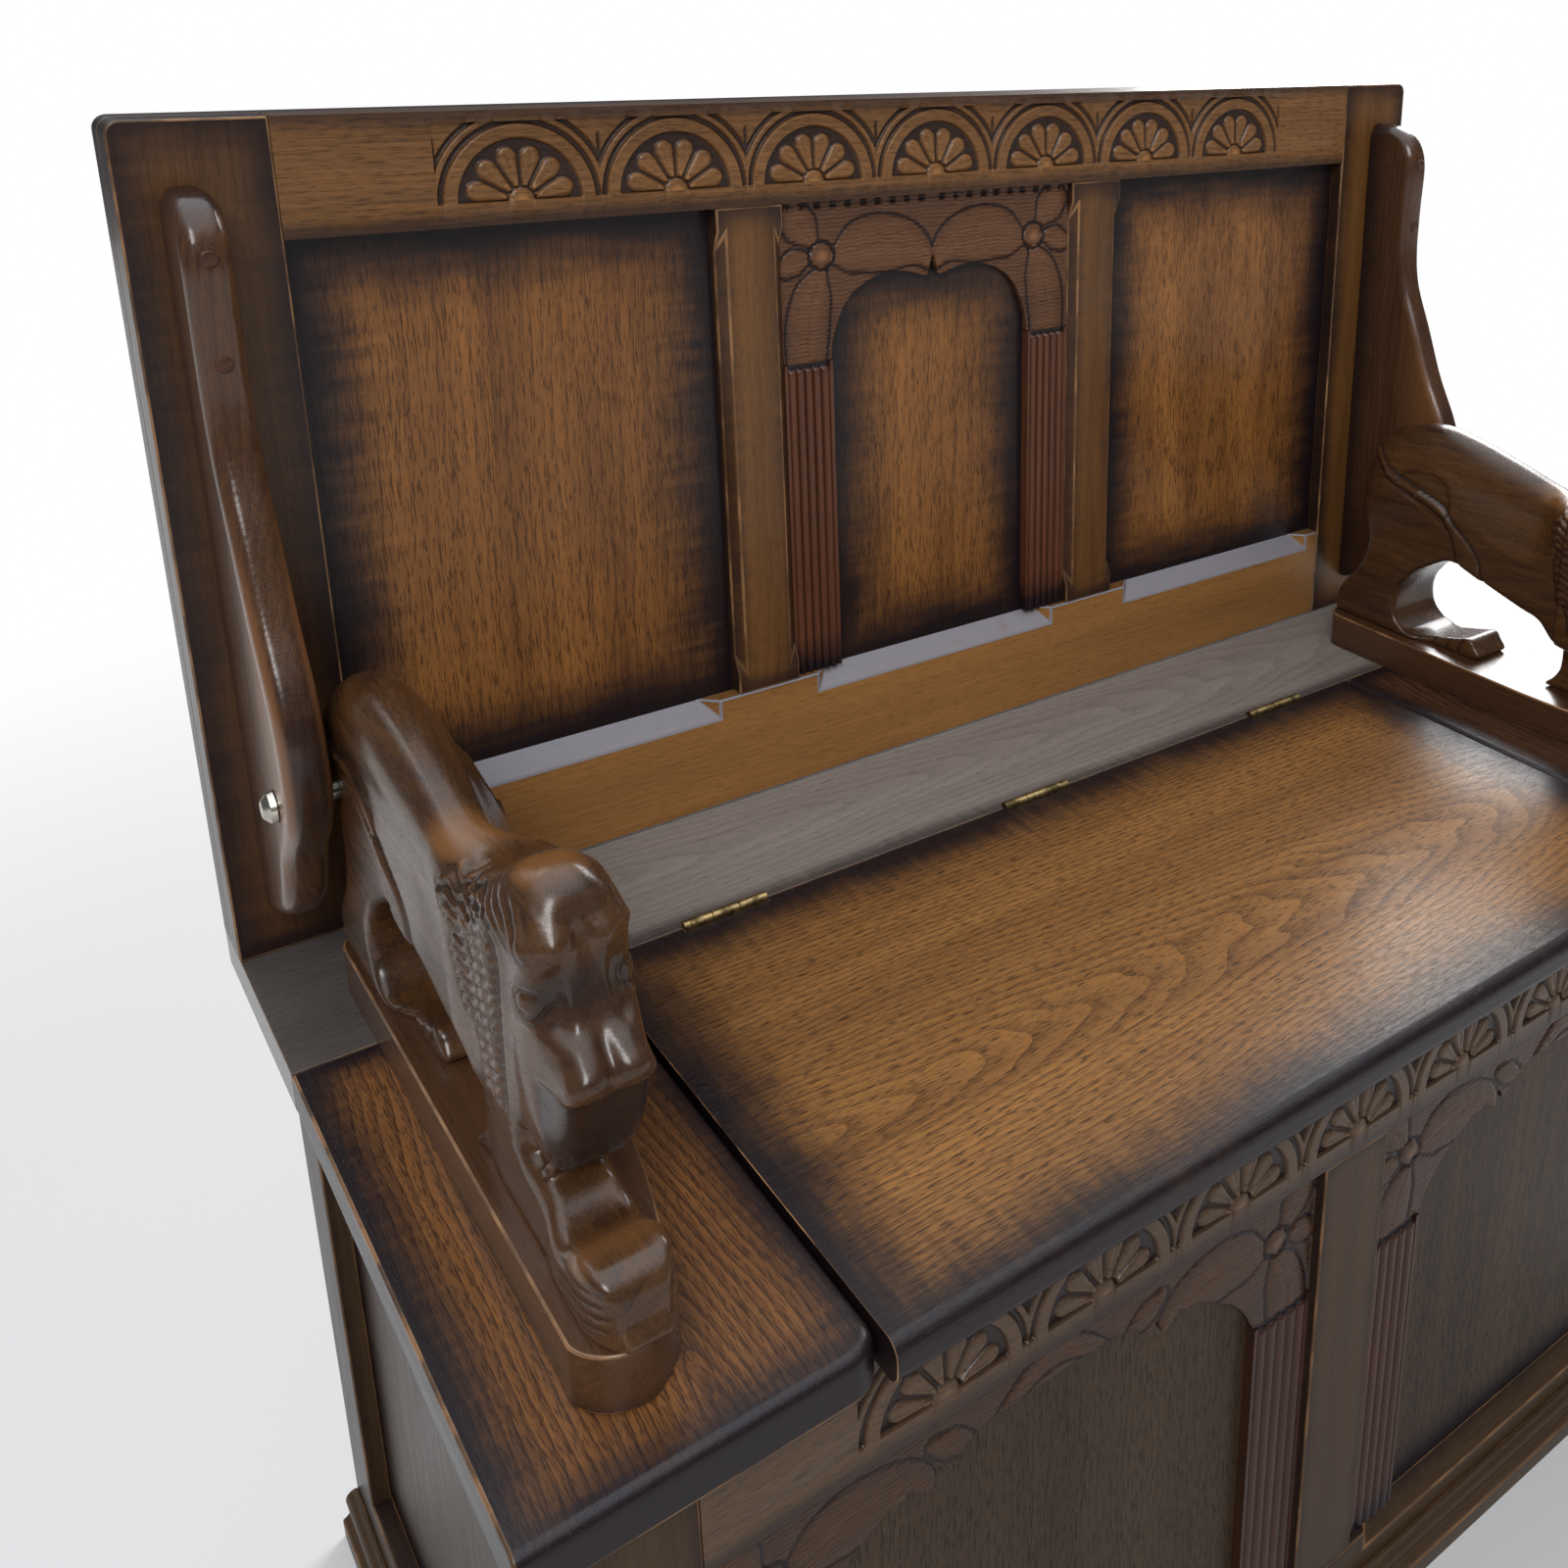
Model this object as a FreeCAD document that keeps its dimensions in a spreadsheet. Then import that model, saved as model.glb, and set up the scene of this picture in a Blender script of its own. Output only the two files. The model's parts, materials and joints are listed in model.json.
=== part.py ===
import FreeCAD, Part
import os
import re
import Sketcher
from FreeCAD import Vector, Placement, Rotation

# Settle bench: a box seat whose carved back tips forward onto two lion arms and becomes a table.
# Millimetres. +X is to the right of someone facing the front, +Y is to the rear, +Z is up.
# The origin is on the floor, under the middle of the whole bench.

os.makedirs("parts", exist_ok=True)
doc = FreeCAD.newDocument("settle_bench")

# Sizes

SIZES = {
    "seat_width": 914,
    "seat_depth": 475,
    "seat_thickness": 22,
    "chest_height": 433,
    "chest_side_inset": 20,
    "chest_front_inset": 22,
    "chest_rear_inset": 12,
    "rear_board_depth": 156,
    "end_board_width": 149,
    "end_board_inset": 5,
    "end_board_corner": 15,
    "seat_edge_round": 6,
    "lid_side_gap": 1.5,
    "lid_overhang_round": 8,
    "frame_thickness": 22,
    "panel_recess": 12,
    "panel_groove": 8,
    "front_post_width": 54,
    "post_depth": 45,
    "front_muntin_width": 50,
    "chest_top_rail": 61,
    "chest_bottom_rail": 62,
    "floor_thickness": 12,
    "floor_level": 24,
    "plinth_height": 34,
    "plinth_projection": 11,
    "table_overhang": 0.5,
    "table_height": 452,
    "table_board_thickness": 18,
    "table_inset": 2,
    "table_rest_gap": 0.3,
    "table_corner": 7,
    "back_stile": 69.5,
    "back_muntin": 43.5,
    "back_middle_panel": 225,
    "back_top_rail": 61,
    "back_bottom_rail": 75,
    "frieze_end": 70,
    "frieze_height": 43,
    "frieze_depth": 3,
    "frieze_margin": 6,
    "lunette_count": 7,
    "lunette_band": 8,
    "rail_chamfer": 13,
    "muntin_chamfer": 6,
    "chamfer_stop": 12,
    "chamfer_end": 14,
    "arch_thickness": 7,
    "back_arch_leg": 34.5,
    "back_arch_drop": 103,
    "front_arch_leg": 43,
    "front_arch_drop": 86,
    "pilaster_thickness": 8,
    "pilaster_reeds": 5,
    "reed_rise": 2,
    "arm_height": 200,
    "arm_width": 67.5,
    "arm_side_inset": 39.5,
    "arm_plinth_height": 28,
    "arm_plinth_corner": 14,
    "arm_plinth_rear": 50,
    "arm_plinth_front": 396,
    "wing_thickness": 22,
    "wing_clearance": 1,
    "wing_top_drop": 31,
    "wing_bottom": 25,
    "wing_crown": 46,
    "wing_cheek": 107,
    "wing_chamfer": 5,
    "pivot_setback": 75,
    "bolt_radius": 5,
    "bolt_running_gap": 0.05,
    "bolt_head_radius": 8.5,
    "bolt_head_height": 6,
    "bolt_depth": 40,
    "bolt_head_gap": 0.3,
    "hinge_length": 52,
    "hinge_inset": 80.5,
    "hinge_leaf_height": 17,
    "hinge_leaf_thickness": 1.5,
    "hinge_gap": 1,
    "knuckle_radius": 3.5,
    "knuckle_rise": 0.5,
    "knuckle_clearance": 0.4,
    "hinge_pin_radius": 1.5,
    "hinge_running_gap": 0.05,
}

sheet = doc.addObject("Spreadsheet::Sheet", "sizes")
for row, (alias, value) in enumerate(SIZES.items(), start=1):
    sheet.set(f"A{row}", alias)
    sheet.set(f"B{row}", str(value))
    sheet.setAlias(f"B{row}", alias)
doc.recompute()


def sized(formula):
    """Point every size named in a formula at its cell in the sheet."""
    return re.sub(r"[a-z]\w+", lambda word: "sizes." + word.group(0), formula)


def size(alias):
    """Read one size from the sheet as a plain number."""
    return float(sheet.get(alias))


# Levels and planes that several pieces share

SEAT_TOP = "(chest_height + seat_thickness)"
SEAT_FRONT = "(-seat_depth / 2)"
SEAT_REAR = "(seat_depth / 2)"
CHEST_SIDE = "(seat_width / 2 - chest_side_inset)"
CHEST_FRONT = "(chest_front_inset - seat_depth / 2)"
CHEST_REAR = "(seat_depth / 2 - chest_rear_inset)"
HINGE_LINE = "(seat_depth / 2 - rear_board_depth)"
HINGE_AXIS = f"({SEAT_TOP} + knuckle_rise)"
TABLE_REAR = "(seat_depth / 2 - table_inset)"
TABLE_JOINT = f"({TABLE_REAR} - table_board_thickness)"
TABLE_FRONT = f"({TABLE_JOINT} - frame_thickness)"
TABLE_BOTTOM = f"({SEAT_TOP} + table_rest_gap)"
TABLE_TOP = f"({SEAT_TOP} + table_height)"
STILE_INNER = "(seat_width / 2 + table_overhang - back_stile)"
MUNTIN_INNER = "(back_middle_panel / 2)"
MUNTIN_OUTER = "(back_middle_panel / 2 + back_muntin)"
BACK_PANEL_TOP = f"({TABLE_TOP} - back_top_rail)"
BACK_PANEL_FOOT = f"({SEAT_TOP} + back_bottom_rail)"
POST_INNER = f"({CHEST_SIDE} - front_post_width)"
CHEST_PANEL_TOP = "(chest_height - chest_top_rail)"
ARM_OUTER = "(seat_width / 2 - arm_side_inset)"
ARM_CENTRE = f"({ARM_OUTER} - arm_width / 2)"
WING_INNER = f"({ARM_OUTER} + wing_clearance)"
WING_OUTER = f"({WING_INNER} + wing_thickness)"
PIVOT_Y = f"({TABLE_FRONT} - pivot_setback)"
PIVOT_Z = f"({SEAT_TOP} + arm_height + table_rest_gap - pivot_setback)"

seat_top = size("chest_height") + size("seat_thickness")
table_front = size("seat_depth") / 2 - size("table_inset") - size("table_board_thickness")
table_front = table_front - size("frame_thickness")
chest_front = size("chest_front_inset") - size("seat_depth") / 2

PIECES = []


def keep(item):
    """List an object as one of the finished pieces."""
    PIECES.append(item)
    return item


def bind(item, **formulas):
    """Tie properties of an object to formulas in the sheet's sizes."""
    for name, formula in formulas.items():
        item.setExpression(name, sized(formula))
    return item


def place(item, x="0 * seat_width", y="0 * seat_width", z="0 * seat_width"):
    """Tie an object's position to formulas."""
    item.setExpression("Placement.Base.x", sized(x))
    item.setExpression("Placement.Base.y", sized(y))
    item.setExpression("Placement.Base.z", sized(z))
    return item


def across(side, inner, outer):
    """Give the low and high X of something that lies between two distances from the middle."""
    return (f"-({outer})", f"-({inner})") if side < 0 else (inner, outer)


def board(label, x, y, z):
    """Make a squared board between three pairs of limits."""
    box = doc.addObject("Part::Box", label)
    bind(box, Length=f"{x[1]} - ({x[0]})", Width=f"{y[1]} - ({y[0]})", Height=f"{z[1]} - ({z[0]})")
    return place(box, x[0], y[0], z[0])


def wedge(label, x, y, z, x_end, z_end):
    """Make a wedge that runs from the face at the first Y to the face at the second."""
    item = doc.addObject("Part::Wedge", label)
    bind(item, Xmin=x[0], Xmax=x[1], Ymin=y[0], Ymax=y[1], Zmin=z[0], Zmax=z[1])
    return bind(item, X2min=x_end[0], X2max=x_end[1], Z2min=z_end[0], Z2max=z_end[1])


def rod(label, radius, length, x, y, z, along):
    """Make a round bar that starts at a point and runs along a direction."""
    item = doc.addObject("Part::Cylinder", label)
    bind(item, Radius=radius, Height=length)
    item.Placement = Placement(Vector(0, 0, 0), Rotation(Vector(0, 0, 1), along))
    return place(item, x, y, z)


def fused(label, items):
    """Join objects into one."""
    item = doc.addObject("Part::MultiFuse", label)
    item.Shapes = items
    return item


def cut(label, base, tools):
    """Take one or more objects away from a base."""
    item = doc.addObject("Part::Cut", label)
    item.Base = base
    item.Tool = tools[0] if len(tools) == 1 else fused(label + "_tools", tools)
    return item


def origin_plane(body, role):
    """Find one of a body's own origin planes or axes."""
    return [item for item in body.Origin.OriginFeatures if item.Role == role][0]


def sketch_on(body, role, shift=0.0):
    """Start a sketch on one of a body's origin planes, moved along that plane's normal."""
    sketch = body.newObject("Sketcher::SketchObject", body.Name + "_sketch")
    sketch.AttachmentSupport = [(origin_plane(body, role), "")]
    sketch.MapMode = "FlatFace"
    sketch.AttachmentOffset = Placement(Vector(0, 0, shift), Rotation())
    return sketch


def draw(sketch, start, steps):
    """Draw a closed outline: two numbers are a line to a point, four an arc through a point."""
    here = Vector(start[0], start[1], 0)
    for step in steps:
        there = Vector(step[-2], step[-1], 0)
        if len(step) == 4:
            sketch.addGeometry(Part.Arc(here, Vector(step[0], step[1], 0), there), False)
        else:
            sketch.addGeometry(Part.LineSegment(here, there), False)
        here = there
    close_up(sketch)


def close_up(sketch):
    """Join the ends that meet in a sketch."""
    ends = [(i, pos) for i in range(sketch.GeometryCount) for pos in (1, 2)]
    for number, (first, first_end) in enumerate(ends):
        for second, second_end in ends[number + 1:]:
            gap = sketch.getPoint(first, first_end) - sketch.getPoint(second, second_end)
            if second != first and gap.Length < 1e-6:
                joint = Sketcher.Constraint("Coincident", first, first_end, second, second_end)
                sketch.addConstraint(joint)


def smooth(sketch, points):
    """Draw one smooth curve through points."""
    curve = Part.BSplineCurve()
    curve.interpolate([Vector(a, b, 0) for a, b in points])
    sketch.addGeometry(curve, False)


def pad(body, sketch, length, reverse=False):
    """Pad a sketch by a length from the sheet."""
    feature = body.newObject("PartDesign::Pad", body.Name + "_pad")
    feature.Profile = sketch
    feature.Reversed = reverse
    bind(feature, Length=length)
    return feature


def round_edges(body, feature, radius, choose):
    """Round the edges of a feature that a rule picks by their middle points."""
    doc.recompute()
    names = []
    for number, edge in enumerate(feature.Shape.Edges, start=1):
        if choose(edge.valueAt((edge.FirstParameter + edge.LastParameter) / 2)):
            names.append(f"Edge{number}")
    fillet = body.newObject("PartDesign::Fillet", body.Name + "_round")
    fillet.Base = (feature, names)
    bind(fillet, Radius=radius)
    return fillet


def new_body(label):
    """Start a body."""
    return doc.addObject("PartDesign::Body", label)


# Framed back: stiles, rails and muntins, rebated from behind for the panels

half_table = size("seat_width") / 2 + size("table_overhang")
corner = size("table_corner")
PANEL_FACE = f"({TABLE_FRONT} + panel_recess)"
FRAME_DEPTH = (TABLE_FRONT, TABLE_JOINT)
PANEL_DEPTH = (PANEL_FACE, TABLE_JOINT)
PANEL_RISE = (f"{BACK_PANEL_FOOT} - panel_groove", f"{BACK_PANEL_TOP} + panel_groove")

back_panels = {}
for name, limits in {
    "left": across(-1, f"{MUNTIN_OUTER} - panel_groove", f"{STILE_INNER} + panel_groove"),
    "middle": (f"-{MUNTIN_INNER} - panel_groove", f"{MUNTIN_INNER} + panel_groove"),
    "right": across(1, f"{MUNTIN_OUTER} - panel_groove", f"{STILE_INNER} + panel_groove"),
}.items():
    back_panels[name] = keep(board("back_panel_" + name, limits, PANEL_DEPTH, PANEL_RISE))


def rounded_end_board(label, side, inner, outer, low, high, depth, y, round_low):
    """Make a board that stands upright, with its outer top corner, and its foot if asked, rounded."""
    body = new_body(label)
    sketch = sketch_on(body, "XZ_Plane")
    bend = corner * (1 - 0.5 ** 0.5)
    steps = [(side * inner, high), (side * (outer - corner), high)]
    steps += [(side * (outer - bend), high - bend, side * outer, high - corner)]
    if round_low:
        steps += [(side * outer, low + corner)]
        steps += [(side * (outer - bend), low + bend, side * (outer - corner), low)]
    else:
        steps += [(side * outer, low)]
    steps += [(side * inner, low)]
    draw(sketch, (side * inner, low), steps)
    pad(body, sketch, depth, True)
    return place(body, y=y)


table_low = seat_top + size("table_rest_gap")
table_high = seat_top + size("table_height")
stile_inner = half_table - size("back_stile")
for side, name in ((-1, "left"), (1, "right")):
    blank = rounded_end_board(f"back_stile_{name}_blank", side, stile_inner, half_table, table_low,
                              table_high, "frame_thickness", TABLE_FRONT, False)
    keep(cut("back_stile_" + name, blank, [back_panels[name]]))

    x = across(side, MUNTIN_INNER, MUNTIN_OUTER)
    z = (BACK_PANEL_FOOT, BACK_PANEL_TOP)
    blank = board(f"back_muntin_{name}_blank", x, FRAME_DEPTH, z)
    z_low = (f"{z[0]} + chamfer_end", f"{z[1]} - chamfer_end")
    z_high = (f"{z_low[0]} + chamfer_stop", f"{z_low[1]} - chamfer_stop")
    y = (TABLE_FRONT, f"{TABLE_FRONT} + muntin_chamfer")
    chamfers = [
        wedge(f"back_muntin_{name}_chamfer_low", (x[0], f"{x[0]} + muntin_chamfer"), y, z_low,
              (x[0], x[0]), z_high),
        wedge(f"back_muntin_{name}_chamfer_high", (f"{x[1]} - muntin_chamfer", x[1]), y, z_low,
              (x[1], x[1]), z_high),
    ]
    tools = [back_panels[name], back_panels["middle"]] + chamfers
    keep(cut("back_muntin_" + name, blank, tools))


def frieze_ground(label, y, z_top):
    """Make the sunk ground of a carved frieze, with a half-round band left standing in each bay."""
    half = f"({POST_INNER} - frieze_end)"
    low = f"{z_top} - frieze_margin - frieze_height"
    ground = board(label + "_recess", (f"-{half}", half), (y, f"{y} + frieze_depth"),
                   (low, f"{z_top} - frieze_margin"))
    count = int(size("lunette_count"))
    bands = []
    for number in range(count):
        middle = f"{half} * {(2 * number + 1) / count - 1}"
        outer = rod(f"{label}_outer_{number}", "frieze_height - 1", "frieze_depth", middle, y, low,
                    Vector(0, 1, 0))
        inner = rod(f"{label}_inner_{number}", "frieze_height - 1 - lunette_band", "frieze_depth",
                    middle, y, low, Vector(0, 1, 0))
        bands.append(cut(f"{label}_band_{number}", outer, [inner]))
    return cut(label, ground, bands)


rail_x = (f"-{STILE_INNER}", STILE_INNER)
blank = board("back_top_rail_blank", rail_x, FRAME_DEPTH, (BACK_PANEL_TOP, TABLE_TOP))
ground = frieze_ground("back_frieze", TABLE_FRONT, TABLE_TOP)
keep(cut("back_top_rail", blank, [ground] + list(back_panels.values())))

blank = board("back_bottom_rail_blank", rail_x, FRAME_DEPTH, (TABLE_BOTTOM, BACK_PANEL_FOOT))
chamfers = []
for name, low, high in (
    ("left", f"-{STILE_INNER}", f"-{MUNTIN_OUTER}"),
    ("middle", f"-{MUNTIN_INNER}", MUNTIN_INNER),
    ("right", MUNTIN_OUTER, STILE_INNER),
):
    x = (f"{low} + chamfer_end", f"{high} - chamfer_end")
    x_end = (f"{x[0]} + chamfer_stop", f"{x[1]} - chamfer_stop")
    chamfers.append(wedge(f"back_rail_chamfer_{name}", x,
                          (TABLE_FRONT, f"{TABLE_FRONT} + panel_recess"),
                          (f"{BACK_PANEL_FOOT} - rail_chamfer", BACK_PANEL_FOOT), x_end,
                          (BACK_PANEL_FOOT, BACK_PANEL_FOOT)))
keep(cut("back_bottom_rail", blank, chamfers + list(back_panels.values())))

body = new_body("table_board")
sketch = sketch_on(body, "XZ_Plane")
bend = corner * (1 - 0.5 ** 0.5)
draw(sketch, (-half_table, table_low), [
    (-half_table, table_high - corner),
    (bend - half_table, table_high - bend, corner - half_table, table_high),
    (half_table - corner, table_high),
    (half_table - bend, table_high - bend, half_table, table_high - corner),
    (half_table, table_low),
    (-half_table, table_low),
])
pad(body, sketch, "table_board_thickness", True)
keep(place(body, y=TABLE_JOINT))


# Arches and reeded pilasters that stand on the panels

def arch_board(label, half, leg, fall, edge, top, y):
    """Make a board with a lobed lower edge between two legs, hung from a rail.

    The edge lists one half from the leg's foot to the middle, as shares of the opening's half width
    and of the leg's height: two numbers are a line to a point, four an arc through a point.
    """
    body = new_body(label)
    sketch = sketch_on(body, "XZ_Plane")
    opening = half - leg

    def scaled(points, side):
        pairs = zip(points[::2], points[1::2])
        return tuple(value for x, z in pairs for value in (side * x * opening, top - z * fall))

    corners = [(1, 1)] + [step[-2:] for step in edge]
    steps = [(-half, top), (half, top), (half, top - fall), scaled((1, 1), 1)]
    steps += [scaled(step, 1) for step in edge]
    for step, corner_before in reversed(list(zip(edge, corners))):
        steps.append(scaled(step[:-2] + corner_before, -1))
    steps += [(-half, top - fall)]
    draw(sketch, (-half, top - fall), steps)
    pad(body, sketch, "arch_thickness", False)
    return place(body, y=y)


def pilaster(label, x_low, width, low, high, y):
    """Make a strip with rounded reeds down its front."""
    body = new_body(label)
    sketch = sketch_on(body, "XY_Plane")
    count = int(size("pilaster_reeds"))
    reed = width / count
    crest = -size("pilaster_thickness")
    root = crest + size("reed_rise")
    steps = [(0, root)]
    for number in range(count):
        start = number * reed
        steps.append((start + reed / 2, crest, start + reed, root))
    steps += [(width, 0), (0, 0)]
    draw(sketch, (0, 0), steps)
    pad(body, sketch, f"{high} - ({low})")
    return place(body, x_low, y, low)


BACK_EDGE = [
    (0.94, 0.77, 0.795, 0.6),
    (0.43, 0.485, 0.055, 0.535),
    (0, 0.4),
]
half_middle = size("back_middle_panel") / 2
arch_top = table_high - size("back_top_rail")
keep(arch_board("back_arch", half_middle, size("back_arch_leg"), size("back_arch_drop"), BACK_EDGE,
                arch_top, PANEL_FACE))
LEG_INNER = f"({MUNTIN_INNER} - back_arch_leg)"
for side, name in ((-1, "left"), (1, "right")):
    x = across(side, LEG_INNER, MUNTIN_INNER)
    keep(pilaster("back_pilaster_" + name, x[0], size("back_arch_leg"), BACK_PANEL_FOOT,
                  f"{BACK_PANEL_TOP} - back_arch_drop", PANEL_FACE))


# Wings: shaped cheeks on the back's front face, each turning on a bolt in a lion arm

def wing_points():
    """List a wing's edge from its top, as distances ahead of the back and heights above the seat."""
    top = size("table_height") - size("wing_top_drop")
    pivot = size("arm_height") + size("table_rest_gap") - size("pivot_setback")
    crown = size("wing_crown")
    cheek = size("wing_cheek")
    ahead = size("pivot_setback")
    high = top - crown
    low = pivot + 60
    middle = [(0.98, 0.21), (1.07, 0.41), (1.37, 0.58), (1.8, 0.82)]
    points = [(0, top), (0.35 * crown, top - 0.5), (0.72 * crown, top - 6), (0.96 * crown, top - 21)]
    points += [(crown, high)]
    points += [(share * crown, high + (low - high) * down) for share, down in middle]
    points += [(0.945 * cheek, low), (cheek, pivot + 34), (0.99 * cheek, pivot + 10)]
    points += [(ahead + 18, pivot - 14), (ahead - 1, pivot - 36), (ahead - 9, pivot - 54)]
    points += [(ahead - 20, pivot - 72), (ahead - 45, pivot - 88)]
    return [(-distance, z) for distance, z in points] + [(0, size("wing_bottom"))]


def wing_section(body, shift, inset):
    """Draw a wing's outline, drawn in from its edge by an inset, on a plane across the bench."""
    points = wing_points()
    inner = []
    for number, (y, z) in enumerate(points):
        before = points[max(number - 1, 0)]
        after = points[min(number + 1, len(points) - 1)]
        along = Vector(after[0] - before[0], after[1] - before[1], 0).normalize()
        inner.append((y - along.y * inset, z + along.x * inset))
    top = inner[0][1]
    foot = inner[-1][1]
    inner[0] = (0, top - inset)
    inner[-1] = (0, foot)
    sketch = sketch_on(body, "YZ_Plane", shift)
    smooth(sketch, inner)
    sketch.addGeometry(Part.LineSegment(Vector(0, foot, 0), Vector(0, top - inset, 0)), False)
    close_up(sketch)
    return sketch


def lofted(body, sketches):
    """Add a form that runs straight from each section to the next."""
    feature = body.newObject("PartDesign::AdditiveLoft", body.Name + "_form")
    feature.Profile = sketches[0]
    feature.Sections = sketches[1:]
    feature.Ruled = True
    return feature


wings = {}
for side, name in ((-1, "left"), (1, "right")):
    body = new_body(f"wing_{name}_blank")
    thick = size("wing_thickness")
    edge = size("wing_chamfer")
    sections = [(0, edge), (edge, 0), (thick - edge, 0), (thick, edge)]
    lofted(body, [wing_section(body, shift, inset) for shift, inset in sections])
    x = across(side, WING_INNER, WING_OUTER)
    wings[name] = place(body, x[0], TABLE_FRONT, SEAT_TOP)


# Seat: a fixed board behind, one at each end, and the lid between them

LID_END = "(seat_width / 2 - end_board_width - lid_side_gap)"
hinge_places = [f"(({LID_END} - hinge_inset) * {number})" for number in (-1, 0, 1)]


def leaf_plate(label, middle, low_y, high_y):
    """Make the flat of a hinge leaf, which lies against a board's edge."""
    half = "hinge_length / 2"
    return board(label, (f"{middle} - {half}", f"{middle} + {half}"), (low_y, high_y),
                 (f"{SEAT_TOP} - hinge_leaf_height", HINGE_AXIS))


def barrel(label, middle, start, length, radius):
    """Make a round bar on the hinge's axis."""
    return rod(label, radius, length, f"{middle} + ({start})", HINGE_LINE, HINGE_AXIS, Vector(1, 0, 0))


REAR_EDGE = f"({HINGE_LINE} + hinge_gap / 2)"
LID_EDGE = f"({HINGE_LINE} - hinge_gap / 2)"
FIXED_LEAF = (REAR_EDGE, f"{REAR_EDGE} + hinge_leaf_thickness")
LID_LEAF = (f"{LID_EDGE} - hinge_leaf_thickness", LID_EDGE)
THIRD = "hinge_length / 3"
BARREL_SPACE = "knuckle_radius + knuckle_clearance"

rear_tools = []
lid_tools = []
for number, middle in enumerate(hinge_places, start=1):
    half = "hinge_length / 2"
    space = barrel(f"hinge_{number}_space", middle, f"-{half}", "hinge_length", BARREL_SPACE)
    fixed_plate = leaf_plate(f"hinge_{number}_fixed_plate", middle, *FIXED_LEAF)
    lid_plate = leaf_plate(f"hinge_{number}_lid_plate", middle, *LID_LEAF)
    rear_tools += [space, fixed_plate]
    lid_tools += [space, lid_plate]

    middle_space = barrel(f"hinge_{number}_middle_space", middle, f"-{THIRD} / 2", THIRD, BARREL_SPACE)
    trimmed = cut(f"hinge_{number}_fixed_trimmed", fixed_plate, [middle_space])
    first = barrel(f"hinge_{number}_knuckle_a", middle, f"-{half}", THIRD, "knuckle_radius")
    last = barrel(f"hinge_{number}_knuckle_c", middle, f"{THIRD} / 2", THIRD, "knuckle_radius")
    pin = barrel(f"hinge_{number}_pin", middle, f"-{half}", "hinge_length", "hinge_pin_radius")
    keep(fused(f"hinge_fixed_leaf_{number}", [trimmed, first, last, pin]))

    first_space = barrel(f"hinge_{number}_first_space", middle, f"-{half}",
                         f"{THIRD} + knuckle_clearance", BARREL_SPACE)
    last_space = barrel(f"hinge_{number}_last_space", middle, f"{THIRD} / 2 - knuckle_clearance",
                        f"{THIRD} + knuckle_clearance", BARREL_SPACE)
    trimmed = cut(f"hinge_{number}_lid_trimmed", lid_plate, [first_space, last_space])
    knuckle = barrel(f"hinge_{number}_knuckle_b", middle, f"-{THIRD} / 2 + knuckle_clearance",
                     f"{THIRD} - 2 * knuckle_clearance", "knuckle_radius")
    leaf = fused(f"hinge_{number}_lid_joined", [trimmed, knuckle])
    bore = barrel(f"hinge_{number}_bore", middle, f"-{half}", "hinge_length",
                  "hinge_pin_radius + hinge_running_gap")
    keep(cut(f"hinge_lid_leaf_{number}", leaf, [bore]))

SEAT_RISE = ("chest_height", SEAT_TOP)
blank = board("seat_rear_board_blank", ("-seat_width / 2", "seat_width / 2"), (REAR_EDGE, SEAT_REAR),
              SEAT_RISE)
keep(cut("seat_rear_board", blank, rear_tools))

END_INNER = "(seat_width / 2 - end_board_width)"
half_seat = size("seat_width") / 2
end_inner = half_seat - size("end_board_width")
end_front = size("end_board_inset") - size("seat_depth") / 2
rear_edge = size("seat_depth") / 2 - size("rear_board_depth") + size("hinge_gap") / 2
seat_thickness = size("seat_thickness")
inner_corner = size("end_board_corner")
inner_bend = inner_corner * (1 - 0.5 ** 0.5)
for side, name in ((-1, "left"), (1, "right")):
    body = new_body("seat_end_board_" + name)
    sketch = sketch_on(body, "XY_Plane")
    draw(sketch, (side * end_inner, rear_edge), [
        (side * end_inner, end_front + inner_corner),
        (side * (end_inner + inner_bend), end_front + inner_bend,
         side * (end_inner + inner_corner), end_front),
        (side * half_seat, end_front),
        (side * half_seat, rear_edge),
        (side * end_inner, rear_edge),
    ])
    feature = pad(body, sketch, "seat_thickness")
    round_edges(body, feature, "seat_edge_round",
                lambda point: point.y < end_front + 0.01 and point.z > seat_thickness - 0.01)
    keep(place(body, z="chest_height"))

body = new_body("lid_blank")
sketch = sketch_on(body, "XY_Plane")
lid_half = end_inner - size("lid_side_gap")
lid_front = -size("seat_depth") / 2
lid_rear = rear_edge - size("hinge_gap")
draw(sketch, (-lid_half, lid_front), [
    (lid_half, lid_front),
    (lid_half, lid_rear),
    (-lid_half, lid_rear),
    (-lid_half, lid_front),
])
feature = pad(body, sketch, "seat_thickness")
round_edges(body, feature, "lid_overhang_round", lambda point: point.y < lid_front + 0.01
            and (point.z < 0.01 or point.z > seat_thickness - 0.01))
place(body, z="chest_height")
keep(cut("lid_board", body, lid_tools))


# Chest front: posts, rails and a muntin round two panels

FRONT_DEPTH = (CHEST_FRONT, f"({CHEST_FRONT} + frame_thickness)")
FRONT_PANEL = f"({CHEST_FRONT} + panel_recess)"
REAR_DEPTH = (f"({CHEST_REAR} - frame_thickness)", CHEST_REAR)
REAR_POST_INNER = f"({CHEST_SIDE} - post_depth)"
SIDE_INNER = f"({CHEST_SIDE} - frame_thickness)"
CHEST_RISE = ("chest_bottom_rail - panel_groove", f"{CHEST_PANEL_TOP} + panel_groove")
SIDE_RUN = (f"({CHEST_FRONT} + post_depth)", f"({CHEST_REAR} - post_depth)")

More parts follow.
